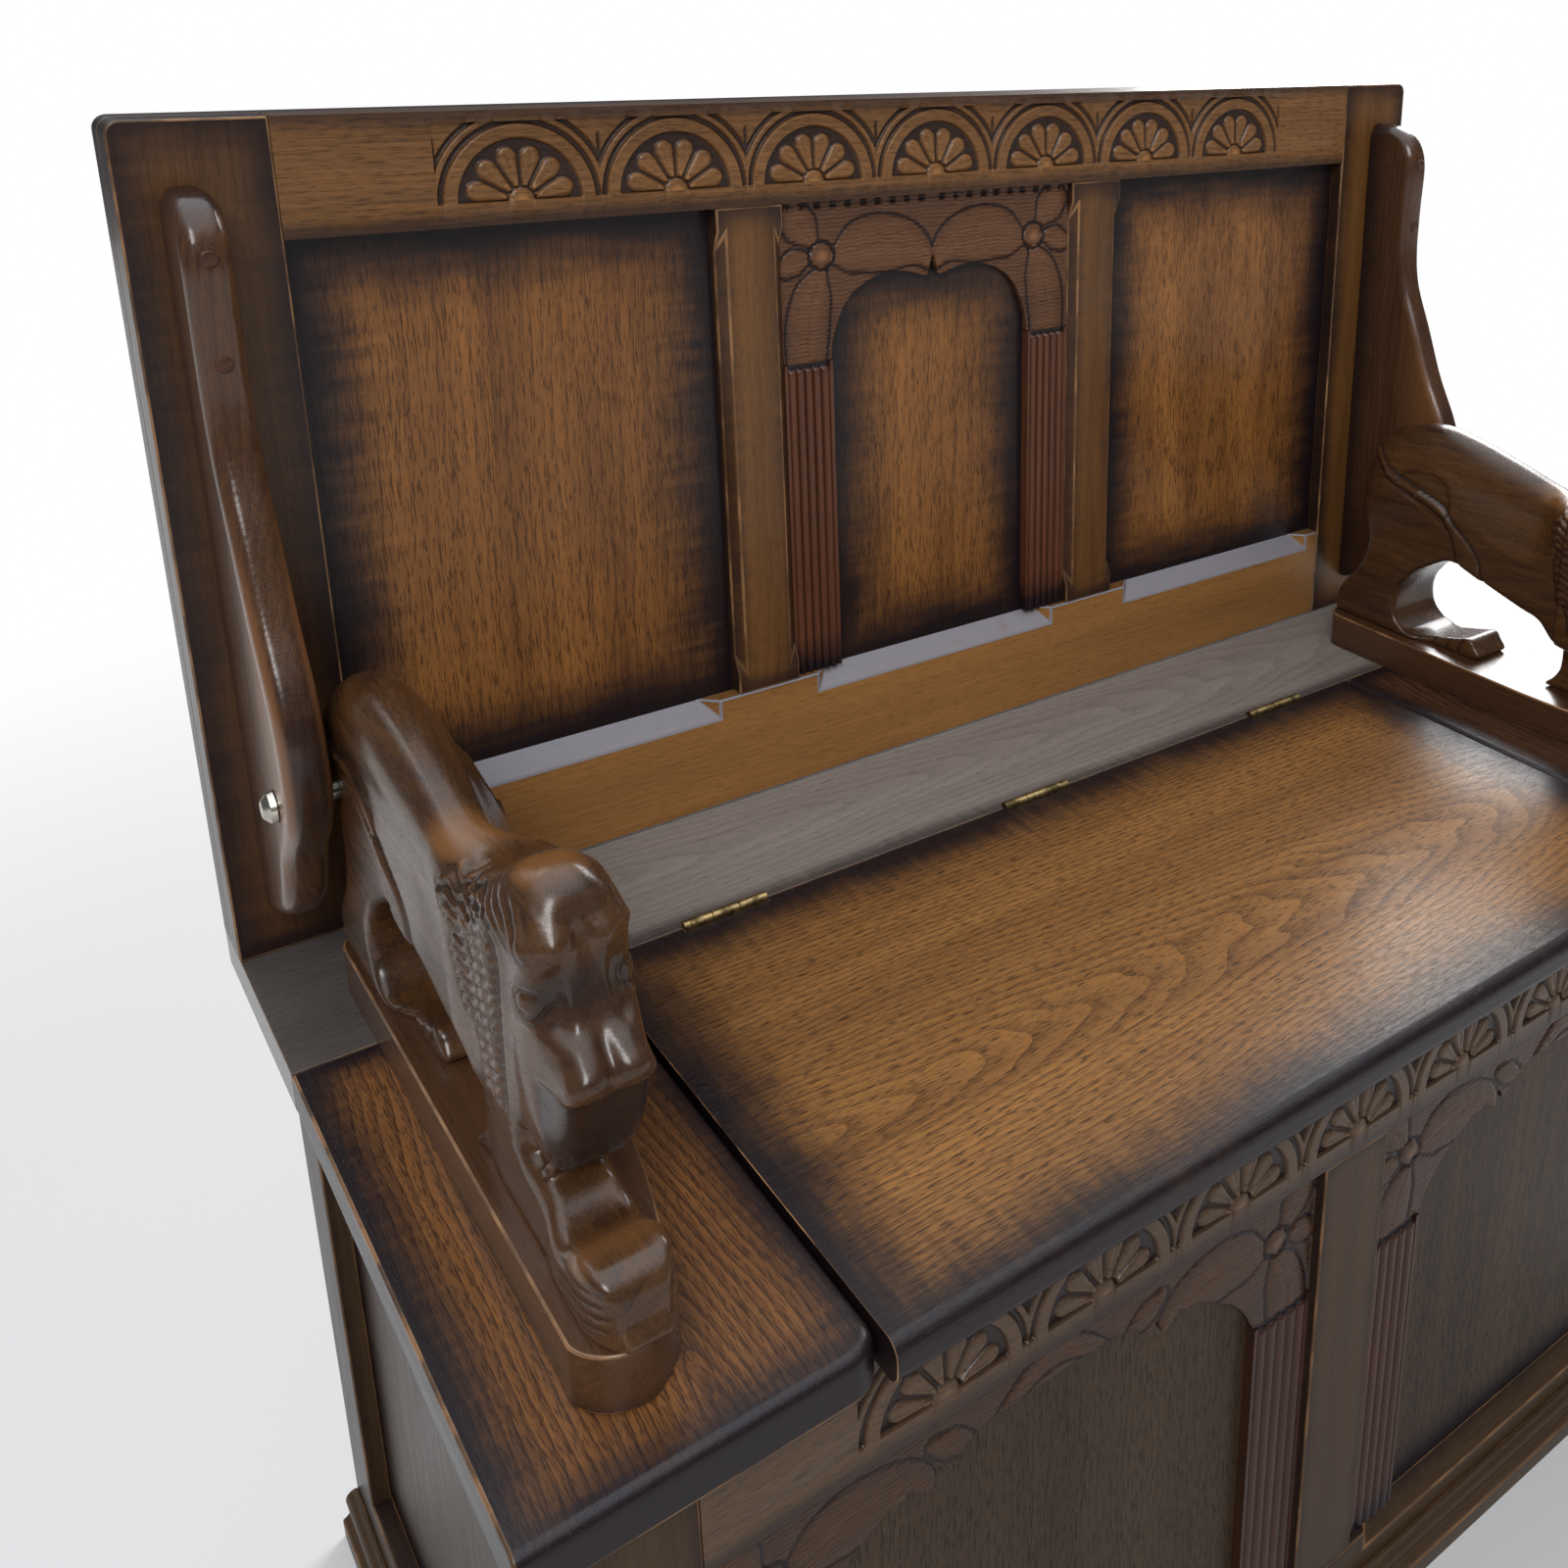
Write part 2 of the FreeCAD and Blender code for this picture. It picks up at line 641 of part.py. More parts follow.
panels = {}
posts = []
for side, name in ((-1, "left"), (1, "right")):
    x = across(side, "front_muntin_width / 2 - panel_groove", f"{POST_INNER} + panel_groove")
    front = keep(board("front_panel_" + name, x, (FRONT_PANEL, FRONT_DEPTH[1]), CHEST_RISE))
    x = across(side, SIDE_INNER, f"({CHEST_SIDE} - panel_recess)")
    y = (f"{SIDE_RUN[0]} - panel_groove", f"{SIDE_RUN[1]} + panel_groove")
    flank = keep(board("side_panel_" + name, x, y, CHEST_RISE))
    panels[name] = (front, flank)
x = (f"-{REAR_POST_INNER} - panel_groove", f"{REAR_POST_INNER} + panel_groove")
rear_panel = keep(board("rear_panel", x, (REAR_DEPTH[0], f"{CHEST_REAR} - panel_recess"), CHEST_RISE))

for side, name in ((-1, "left"), (1, "right")):
    front, flank = panels[name]
    x = across(side, POST_INNER, CHEST_SIDE)
    blank = board(f"front_post_{name}_blank", x, (CHEST_FRONT, SIDE_RUN[0]), ("0 * post_depth",
                                                                             "chest_height"))
    posts.append(keep(cut("front_post_" + name, blank, [front, flank])))
    x = across(side, REAR_POST_INNER, CHEST_SIDE)
    blank = board(f"rear_post_{name}_blank", x, (SIDE_RUN[1], CHEST_REAR), ("0 * post_depth",
                                                                           "chest_height"))
    posts.append(keep(cut("rear_post_" + name, blank, [flank, rear_panel])))
    x = across(side, SIDE_INNER, CHEST_SIDE)
    blank = board(f"side_top_rail_{name}_blank", x, SIDE_RUN, (CHEST_PANEL_TOP, "chest_height"))
    keep(cut("side_top_rail_" + name, blank, [flank]))
    blank = board(f"side_bottom_rail_{name}_blank", x, SIDE_RUN, ("0 * post_depth",
                                                                  "chest_bottom_rail"))
    keep(cut("side_bottom_rail_" + name, blank, [flank]))

half_muntin = "front_muntin_width / 2"
front_panels = [panels["left"][0], panels["right"][0]]
blank = board("front_muntin_blank", (f"-{half_muntin}", half_muntin), FRONT_DEPTH,
              ("chest_bottom_rail", CHEST_PANEL_TOP))
keep(cut("front_muntin", blank, front_panels))

x = (f"-{POST_INNER}", POST_INNER)
blank = board("front_top_rail_blank", x, FRONT_DEPTH, (CHEST_PANEL_TOP, "chest_height"))
ground = frieze_ground("front_frieze", CHEST_FRONT, "chest_height")
keep(cut("front_top_rail", blank, [ground] + front_panels))

blank = board("front_bottom_rail_blank", x, FRONT_DEPTH, ("0 * post_depth", "chest_bottom_rail"))
chamfers = []
for side, name in ((-1, "left"), (1, "right")):
    x = across(side, f"{half_muntin} + chamfer_end", f"{POST_INNER} - chamfer_end")
    x_end = across(side, f"{half_muntin} + chamfer_end + chamfer_stop",
                   f"{POST_INNER} - chamfer_end - chamfer_stop")
    chamfers.append(wedge(f"front_rail_chamfer_{name}", x,
                          (CHEST_FRONT, f"{CHEST_FRONT} + panel_recess"),
                          ("chest_bottom_rail - rail_chamfer", "chest_bottom_rail"), x_end,
                          ("chest_bottom_rail", "chest_bottom_rail")))
keep(cut("front_bottom_rail", blank, chamfers + front_panels))

x = (f"-{REAR_POST_INNER}", REAR_POST_INNER)
blank = board("rear_top_rail_blank", x, REAR_DEPTH, (CHEST_PANEL_TOP, "chest_height"))
keep(cut("rear_top_rail", blank, [rear_panel]))
blank = board("rear_bottom_rail_blank", x, REAR_DEPTH, ("0 * post_depth", "chest_bottom_rail"))
keep(cut("rear_bottom_rail", blank, [rear_panel]))

FLOOR = ("floor_level", "floor_level + floor_thickness")
blank = board("floor_board_blank", (f"-{SIDE_INNER}", SIDE_INNER), (FRONT_DEPTH[1], REAR_DEPTH[0]), FLOOR)
keep(cut("floor_board", blank, posts))

chest_half = size("seat_width") / 2 - size("chest_side_inset")
post_inner = chest_half - size("front_post_width")
panel_half = (post_inner - size("front_muntin_width") / 2) / 2
panel_top = size("chest_height") - size("chest_top_rail")
PANEL_CENTRE = f"(({POST_INNER} + front_muntin_width / 2) / 2)"
FRONT_EDGE = [
    (0.93, 0.78, 0.83, 0.6),
    (0.66, 0.445, 0.507, 0.515),
    (0.478, 0.385),
    (0.45, 0.49),
    (0.375, 0.345, 0.25, 0.3),
    (0, 0.3),
]
for side, name in ((-1, "left"), (1, "right")):
    arch = arch_board("front_arch_" + name, panel_half, size("front_arch_leg"),
                      size("front_arch_drop"), FRONT_EDGE, panel_top, FRONT_PANEL)
    keep(arch)
    centre = PANEL_CENTRE if side > 0 else f"-{PANEL_CENTRE}"
    arch.setExpression("Placement.Base.x", sized(centre))
    z = ("chest_bottom_rail", f"{CHEST_PANEL_TOP} - front_arch_drop")
    x = across(side, "front_muntin_width / 2", "front_muntin_width / 2 + front_arch_leg")
    keep(pilaster(f"front_pilaster_inner_{name}", x[0], size("front_arch_leg"), *z, FRONT_PANEL))
    x = across(side, f"{POST_INNER} - front_arch_leg", POST_INNER)
    keep(pilaster(f"front_pilaster_outer_{name}", x[0], size("front_arch_leg"), *z, FRONT_PANEL))


# Moulded plinth round the front and the ends, mitred at the corners

def plinth_profile(sketch, sign):
    """Draw the moulding: a square base, a hollow and a rounded top member."""
    out = size("plinth_projection")
    tall = size("plinth_height")
    draw(sketch, (0, 0), [
        (sign * out, 0),
        (sign * out, tall * 0.42),
        (sign * out * 0.62, tall * 0.50, sign * out * 0.52, tall * 0.66),
        (sign * out * 0.66, tall * 0.74),
        (sign * out * 0.58, tall * 0.93, sign * out * 0.2, tall),
        (0, tall),
        (0, 0),
    ])


body = new_body("plinth_front_run")
sketch = sketch_on(body, "YZ_Plane")
plinth_profile(sketch, -1)
pad(body, sketch, f"2 * ({CHEST_SIDE} + plinth_projection)")
place(body, x=f"-{CHEST_SIDE} - plinth_projection", y=CHEST_FRONT)
mitre = wedge("plinth_mitre", (f"-{CHEST_SIDE} - plinth_projection", f"{CHEST_SIDE} + plinth_projection"),
              (f"{CHEST_FRONT} - plinth_projection", CHEST_FRONT), ("0 * post_depth", "plinth_height"),
              (f"-{CHEST_SIDE}", CHEST_SIDE), ("0 * post_depth", "plinth_height"))
common = doc.addObject("Part::Common", "plinth_front")
common.Base = body
common.Tool = mitre
keep(common)
for side, name in ((-1, "left"), (1, "right")):
    body = new_body(f"plinth_{name}_run")
    sketch = sketch_on(body, "XZ_Plane")
    plinth_profile(sketch, side)
    pad(body, sketch, f"{CHEST_REAR} - ({CHEST_FRONT}) + plinth_projection", False)
    place(body, x=CHEST_SIDE if side > 0 else f"-{CHEST_SIDE}", y=CHEST_REAR)
    keep(cut("plinth_" + name, body, [mitre]))


# Lion arms: a shaped plinth on the seat and a carved lion on it

def arm_plinth(label, side):
    """Make the board under a lion, rounded behind and drawn in to a nose in front."""
    body = new_body(label)
    sketch = sketch_on(body, "XY_Plane")
    outer = size("seat_width") / 2 - size("arm_side_inset")
    width = size("arm_width")
    inner = outer - width
    back = -size("arm_plinth_rear")
    front = -size("arm_plinth_front")
    length = back - front
    round_off = size("arm_plinth_corner")
    nip = round_off * (1 - 0.5 ** 0.5)
    draw(sketch, (side * (inner + round_off), back), [
        (side * (outer - round_off), back),
        (side * (outer - nip), back - nip, side * outer, back - round_off),
        (side * outer, front + 0.05 * length),
        (side * (outer - 0.13 * width), front + 0.012 * length, side * (outer - 0.39 * width), front),
        (side * (inner + 0.41 * width), front + 0.032 * length,
         side * (inner + 0.27 * width), front + 0.116 * length),
        (side * (inner + 0.08 * width), front + 0.27 * length, side * inner, front + 0.46 * length),
        (side * inner, back - round_off),
        (side * (inner + nip), back - nip, side * (inner + round_off), back),
    ])
    pad(body, sketch, "arm_plinth_height")
    return place(body, y=TABLE_FRONT, z=SEAT_TOP)


# Sections of a lion as shares of its length, width and height above its plinth. Across the arm:
# the distance from the rear, the shift outward, the lowest and highest points and the width.
TRUNK = [
    (0.029, 0, 0.698, 0.802, 0.652), (0.04, 0, 0.64, 0.855, 0.8), (0.064, 0, 0.581, 0.901, 0.889),
    (0.11, 0, 0.488, 0.948, 0.919), (0.179, 0, 0.419, 0.985, 0.919), (0.24, 0, 0.407, 0.996, 0.919),
    (0.289, 0, 0.401, 0.988, 0.889), (0.329, 0, 0.439, 0.971, 0.859), (0.41, 0, 0.39, 0.942, 0.83),
    (0.486, 0, 0.346, 0.907, 0.815), (0.555, 0, 0.317, 0.872, 0.815), (0.587, 0, 0.262, 0.849, 0.83),
    (0.61, 0, 0.186, 0.837, 0.844), (0.65, 0, 0.163, 0.849, 0.859), (0.685, 0, 0.163, 0.89, 0.889),
    (0.723, 0, 0.163, 0.933, 0.889), (0.769, 0, 0.174, 0.939, 0.859), (0.801, 0, 0.186, 0.895, 0.83),
    (0.821, 0, 0.198, 0.785, 0.77), (0.853, 0, 0.209, 0.634, 0.681), (0.876, 0, 0.279, 0.558, 0.622),
    (0.896, 0, 0.407, 0.5, 0.474),
]
FOOT = [
    (0.145, 0, 0, 0.058, 0.889), (0.191, 0, 0, 0.035, 0.859), (0.231, 0, 0, 0.017, 0.741),
    (0.289, 0, 0, 0.047, 0.622), (0.382, 0, 0, 0.087, 0.593), (0.399, 0, 0, 0.047, 0.563),
]
FORELEG = [
    (0.578, 0, 0, 0.093, 0.681), (0.598, 0, 0, 0.256, 0.741), (0.618, 0.015, 0, 0.326, 0.77),
    (0.694, 0.03, 0, 0.326, 0.785), (0.74, 0.044, 0, 0.314, 0.785), (0.786, 0.074, 0, 0.209, 0.77),
    (0.838, 0.089, 0, 0.174, 0.756), (0.867, 0.104, 0, 0.14, 0.741), (0.89, 0.119, 0, 0.14, 0.711),
    (0.919, 0.119, 0, 0.169, 0.696), (0.965, 0.133, 0, 0.169, 0.622), (0.988, 0.133, 0, 0.128, 0.504),
    (0.997, 0.133, 0, 0.058, 0.385),
]
# Level: the height, the shift outward, the rear and front ends and the width.
HIND_LEG = [
    (0, 0, 0.006, 0.185, 0.889), (0.07, 0, 0.006, 0.181, 0.889), (0.169, 0, 0.026, 0.176, 0.889),
    (0.244, 0, 0.046, 0.191, 0.889), (0.331, 0, 0.055, 0.228, 0.889), (0.395, 0, 0.055, 0.28, 0.889),
    (0.488, 0, 0.046, 0.312, 0.889), (0.581, 0, 0.04, 0.312, 0.889), (0.663, 0, 0.035, 0.306, 0.83),
]


def rounded_section(body, role, shift, across_limits, up_limits):
    """Draw a section with its four corners taken off in two flats each."""
    left, right = across_limits
    low, high = up_limits
    bend = 0.42 * min(right - left, high - low)
    slack = bend * (1 - 0.5 ** 0.5)
    sketch = sketch_on(body, role, shift)
    draw(sketch, (left + bend, low), [
        (right - bend, low), (right - slack, low + slack), (right, low + bend),
        (right, high - bend), (right - slack, high - slack), (right - bend, high),
        (left + bend, high), (left + slack, high - slack), (left, high - bend),
        (left, low + bend), (left + slack, low + slack), (left + bend, low),
    ])
    return sketch


def lion_section(body, side, station, level):
    """Draw one section of a lion, level or standing across the arm."""
    at, shift, low, high, width = station
    width *= size("arm_width")
    middle = side * shift * size("arm_width")
    limits = (middle - width / 2, middle + width / 2)
    base = size("arm_plinth_height")
    rise = size("arm_height") - base
    rear = size("arm_plinth_rear")
    length = size("arm_plinth_front") - rear
    if level:
        ends = (-rear - high * length, -rear - low * length)
        return rounded_section(body, "XY_Plane", base + at * rise, limits, ends)
    ends = (base + low * rise, base + high * rise)
    return rounded_section(body, "XZ_Plane", rear + at * length, limits, ends)


def lion(label, side):
    """Make a crouching lion: body with head, hind foot, fore leg and hind leg."""
    body = new_body(label)
    for stations in (TRUNK, FOOT, FORELEG, HIND_LEG):
        level = stations is HIND_LEG
        lofted(body, [lion_section(body, side, station, level) for station in stations])
    return place(body, ARM_CENTRE if side > 0 else f"-{ARM_CENTRE}", TABLE_FRONT, SEAT_TOP)


def pivot_bolt(label, side):
    """Make a domed bolt that passes through a wing into a lion."""
    body = new_body(label)
    sketch = sketch_on(body, "XY_Plane")
    radius = size("bolt_radius")
    head = size("bolt_head_radius")
    dome = size("bolt_head_height")
    gap = size("bolt_head_gap")
    reach = size("wing_thickness") + size("wing_clearance") + size("bolt_depth")
    draw(sketch, (-reach, 0), [
        (-reach, radius),
        (gap, radius),
        (gap, head),
        (gap + 0.5 * dome, 0.9 * head),
        (gap + dome, 0.5 * head),
        (gap + dome, 0),
        (-reach, 0),
    ])
    turn = body.newObject("PartDesign::Revolution", body.Name + "_turn")
    turn.Profile = sketch
    turn.ReferenceAxis = (origin_plane(body, "X_Axis"), [""])
    turn.Angle = 360
    if side < 0:
        body.Placement = Placement(Vector(0, 0, 0), Rotation(Vector(0, 0, 1), 180))
    return place(body, WING_OUTER if side > 0 else f"-{WING_OUTER}", PIVOT_Y, PIVOT_Z)


for side, name in ((-1, "left"), (1, "right")):
    bolt = keep(pivot_bolt("pivot_bolt_" + name, side))
    keep(arm_plinth("arm_plinth_" + name, side))
    carving = lion(f"lion_{name}_carving", side)
    keep(cut("lion_arm_" + name, carving, [bolt]))
    reach = "wing_thickness + 2 * wing_clearance"
    start = WING_INNER + " - wing_clearance" if side > 0 else f"-{WING_OUTER} - wing_clearance"
    hole = rod(f"wing_{name}_hole", "bolt_radius + bolt_running_gap", reach, start, PIVOT_Y, PIVOT_Z,
               Vector(1, 0, 0))
    keep(cut("wing_" + name, wings[name], [hole]))


# Check every object, then write each piece

doc.recompute()
for item in doc.Objects:
    if "Invalid" in item.State or "Error" in item.State:
        raise RuntimeError(f"{item.Label} is {item.State}")
for item in PIECES:
    if item.Shape.isNull() or not item.Shape.isValid():
        raise RuntimeError(f"{item.Label} has no valid shape")
    if len(item.Shape.Solids) != 1:
        raise RuntimeError(f"{item.Label} has {len(item.Shape.Solids)} solids")
    item.Shape.exportStep(f"parts/{item.Label}.step")
print(len(PIECES), "pieces")
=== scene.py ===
import json
import math
import random

import bmesh
import bpy
import numpy as np
from mathutils import Matrix, Vector

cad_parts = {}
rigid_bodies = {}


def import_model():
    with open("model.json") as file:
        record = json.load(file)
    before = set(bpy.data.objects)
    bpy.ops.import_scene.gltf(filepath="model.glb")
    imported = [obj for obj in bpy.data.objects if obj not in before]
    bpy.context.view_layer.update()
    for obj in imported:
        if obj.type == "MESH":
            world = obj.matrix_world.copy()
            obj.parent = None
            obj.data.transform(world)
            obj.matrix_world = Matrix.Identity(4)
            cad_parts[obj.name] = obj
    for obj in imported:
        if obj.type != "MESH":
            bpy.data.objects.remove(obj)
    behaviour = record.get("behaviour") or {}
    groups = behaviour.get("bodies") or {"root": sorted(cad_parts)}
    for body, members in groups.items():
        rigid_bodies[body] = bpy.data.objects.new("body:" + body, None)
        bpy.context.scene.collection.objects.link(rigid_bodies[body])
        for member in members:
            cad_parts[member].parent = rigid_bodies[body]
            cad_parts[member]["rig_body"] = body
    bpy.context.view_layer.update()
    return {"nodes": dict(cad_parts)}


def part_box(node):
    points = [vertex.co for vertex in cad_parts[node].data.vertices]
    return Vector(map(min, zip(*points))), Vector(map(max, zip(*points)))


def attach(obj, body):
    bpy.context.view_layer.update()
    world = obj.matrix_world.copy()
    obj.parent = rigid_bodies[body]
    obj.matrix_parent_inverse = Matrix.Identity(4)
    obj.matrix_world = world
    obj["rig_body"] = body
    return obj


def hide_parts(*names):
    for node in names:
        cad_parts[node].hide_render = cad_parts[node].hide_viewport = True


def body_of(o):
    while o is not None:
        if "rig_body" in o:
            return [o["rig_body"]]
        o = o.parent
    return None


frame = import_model()


# Camera, placed as the photographer stood: in front of the left arm, looking down along the lid.
# The frame shows only part of the view, so the lens is shifted to the left and down.

CAMERA_PLACE = (-0.5565, -0.6569, 0.9763)
CAMERA_RIGHT = (0.77528, -0.63118, 0.02364)
CAMERA_DOWN = (-0.16829, -0.24250, -0.95544)
CAMERA_AHEAD = (0.60879, 0.73676, -0.29422)
camera = bpy.data.objects.new("camera", bpy.data.cameras.new("camera"))
camera.data.sensor_width = 36
camera.data.lens = 35.31
camera.data.shift_x = -0.205
camera.data.shift_y = -0.2055
camera.data.clip_start = 0.01
turn = Matrix((CAMERA_RIGHT, [-v for v in CAMERA_DOWN], [-v for v in CAMERA_AHEAD])).transposed()
camera.matrix_world = Matrix.Translation(CAMERA_PLACE) @ turn.to_4x4()
bpy.context.scene.collection.objects.link(camera)
bpy.context.scene.camera = camera
bpy.context.scene.view_settings.view_transform = "Standard"


# Studio: a pale floor that fades into a white backdrop, soft lamps, and an even pale surround.
# In reflections only its upper part is bright, so flat boards keep their colour and arrises shine.

def put(tree, socket, value):
    """Link an input to a socket, or set it to a value."""
    if isinstance(value, bpy.types.NodeSocket):
        tree.links.new(value, socket)
    else:
        socket.default_value = value


def add_node(tree, kind, at=0, **given):
    """Add a shader node; a socket given for an input is linked, another value is set."""
    made = tree.nodes.new("ShaderNode" + kind)
    for key, value in given.items():
        if hasattr(made, key):
            setattr(made, key, value)
        else:
            put(tree, made.inputs[key.replace("_", " ")], value)
    return made.outputs[at]


def maths(tree, operation, *values, clamp=False):
    """Add a Math node with its inputs given in order."""
    made = tree.nodes.new("ShaderNodeMath")
    made.operation = operation
    made.use_clamp = clamp
    for socket, value in zip(made.inputs, values):
        put(tree, socket, value)
    return made.outputs[0]


def mixed(tree, factor, first, second):
    """Mix two colours."""
    made = tree.nodes.new("ShaderNodeMix")
    made.data_type = "RGBA"
    put(tree, made.inputs[0], factor)
    for socket, colour in ((made.inputs[6], first), (made.inputs[7], second)):
        put(tree, socket, colour if isinstance(colour, bpy.types.NodeSocket) else (*colour, 1))
    return made.outputs[2]


def spread(tree, value, low, high, to_low=0.0, to_high=1.0):
    """Spread a value smoothly from one range to another."""
    return add_node(tree, "MapRange", interpolation_type="SMOOTHSTEP", Value=value, From_Min=low,
                    From_Max=high, To_Min=to_low, To_Max=to_high)


def mix_shaders(tree, factor, first, second):
    """Mix two shaders."""
    made = tree.nodes.new("ShaderNodeMixShader")
    for socket, value in zip(made.inputs, (factor, first, second)):
        tree.links.new(value, socket)
    return made.outputs[0]


def tinted(colour, tint):
    """Give a colour made darker or lighter."""
    return tuple(min(v * tint, 1) for v in colour)


SHINE_FROM, SHINE_TO = 0.50, 0.98
SHINE_LOW, SHINE_HIGH = 0.10, 3.0
world = bpy.data.worlds.new("surround")
bpy.context.scene.world = world
world.use_nodes = True
tree = world.node_tree
tree.nodes.clear()
path = tree.nodes.new("ShaderNodeLightPath")
seen = maths(tree, "ADD", path.outputs["Is Camera Ray"], path.outputs["Is Transmission Ray"], clamp=True)
upward = add_node(tree, "SeparateXYZ", at=2, Vector=add_node(tree, "TexCoord"))
shine_strength = spread(tree, upward, SHINE_FROM, SHINE_TO, SHINE_LOW, SHINE_HIGH)
even = add_node(tree, "Background", Color=(0.95, 0.97, 1.0, 1), Strength=0.74)
shine = add_node(tree, "Background", Color=(0.86, 0.93, 1.0, 1), Strength=shine_strength)
white = add_node(tree, "Background", Color=(1, 1, 1, 1), Strength=1.0)
surround = mix_shaders(tree, path.outputs["Is Glossy Ray"], even, shine)
whole = mix_shaders(tree, seen, surround, white)
tree.links.new(whole, tree.nodes.new("ShaderNodeOutputWorld").inputs[0])


def finished(name, mesh_maker):
    """Make an object from a bmesh that a function fills."""
    shape = bmesh.new()
    mesh_maker(shape)
    mesh = bpy.data.meshes.new(name)
    shape.to_mesh(mesh)
    shape.free()
    made = bpy.data.objects.new(name, mesh)
    bpy.context.scene.collection.objects.link(made)
    return made


FLOOR_REACH = 6.0
FADE_FROM, FADE_TO = 0.9, 2.05
floor = finished("floor", lambda shape: bmesh.ops.create_circle(shape, cap_ends=True, segments=64,
                                                                radius=FLOOR_REACH))
material = bpy.data.materials.new("pale_floor")
material.use_nodes = True
tree = material.node_tree
tree.nodes.clear()
away = add_node(tree, "VectorMath", at=1, operation="LENGTH", Vector=add_node(tree, "TexCoord", at=3))
matt = add_node(tree, "BsdfDiffuse", Color=(0.60, 0.60, 0.605, 1))
glow = add_node(tree, "Emission", Color=(1, 1, 1, 1), Strength=1.0)
cover = mix_shaders(tree, spread(tree, away, FADE_FROM, FADE_TO), matt, glow)
tree.links.new(cover, tree.nodes.new("ShaderNodeOutputMaterial").inputs[0])
floor.data.materials.append(material)

for name, place, aim, wide, power in (
    ("key_lamp", (-1.4, -1.7, 2.5), (0, 0, 0.5), 1.0, 48),
    ("right_lamp", (1.9, 1.25, 1.65), (0.25, -0.1, 0.455), 1.3, 55),
    ("rear_lamp", (-0.8, 2.0, 2.4), (-0.2, 0, 0.6), 1.4, 10),
):
    lamp = bpy.data.objects.new(name, bpy.data.lights.new(name, "AREA"))
    lamp.data.size = wide
    lamp.data.energy = power
    turn = (Vector(place) - Vector(aim)).to_track_quat("Z", "Y").to_matrix()
    lamp.matrix_world = Matrix.Translation(place) @ turn.to_4x4()
    bpy.context.scene.collection.objects.link(lamp)


# Woods: oak and beech under a dark stain, sprayed darker along the edges and then lacquered.
# Each board gets its own material, because the dark edges follow that board's own limits.

# The grain's axis first, then the two across it.
AXES = {"X": (0, 1, 2), "Y": (1, 0, 2), "Z": (2, 0, 1)}
BURST_AND_SHADE = (0.0070, 0.0040, 0.0062)
WORN = (0.42, 0.22, 0.095)
CORNER = 0.02
FIRST_STAVE = 0.013


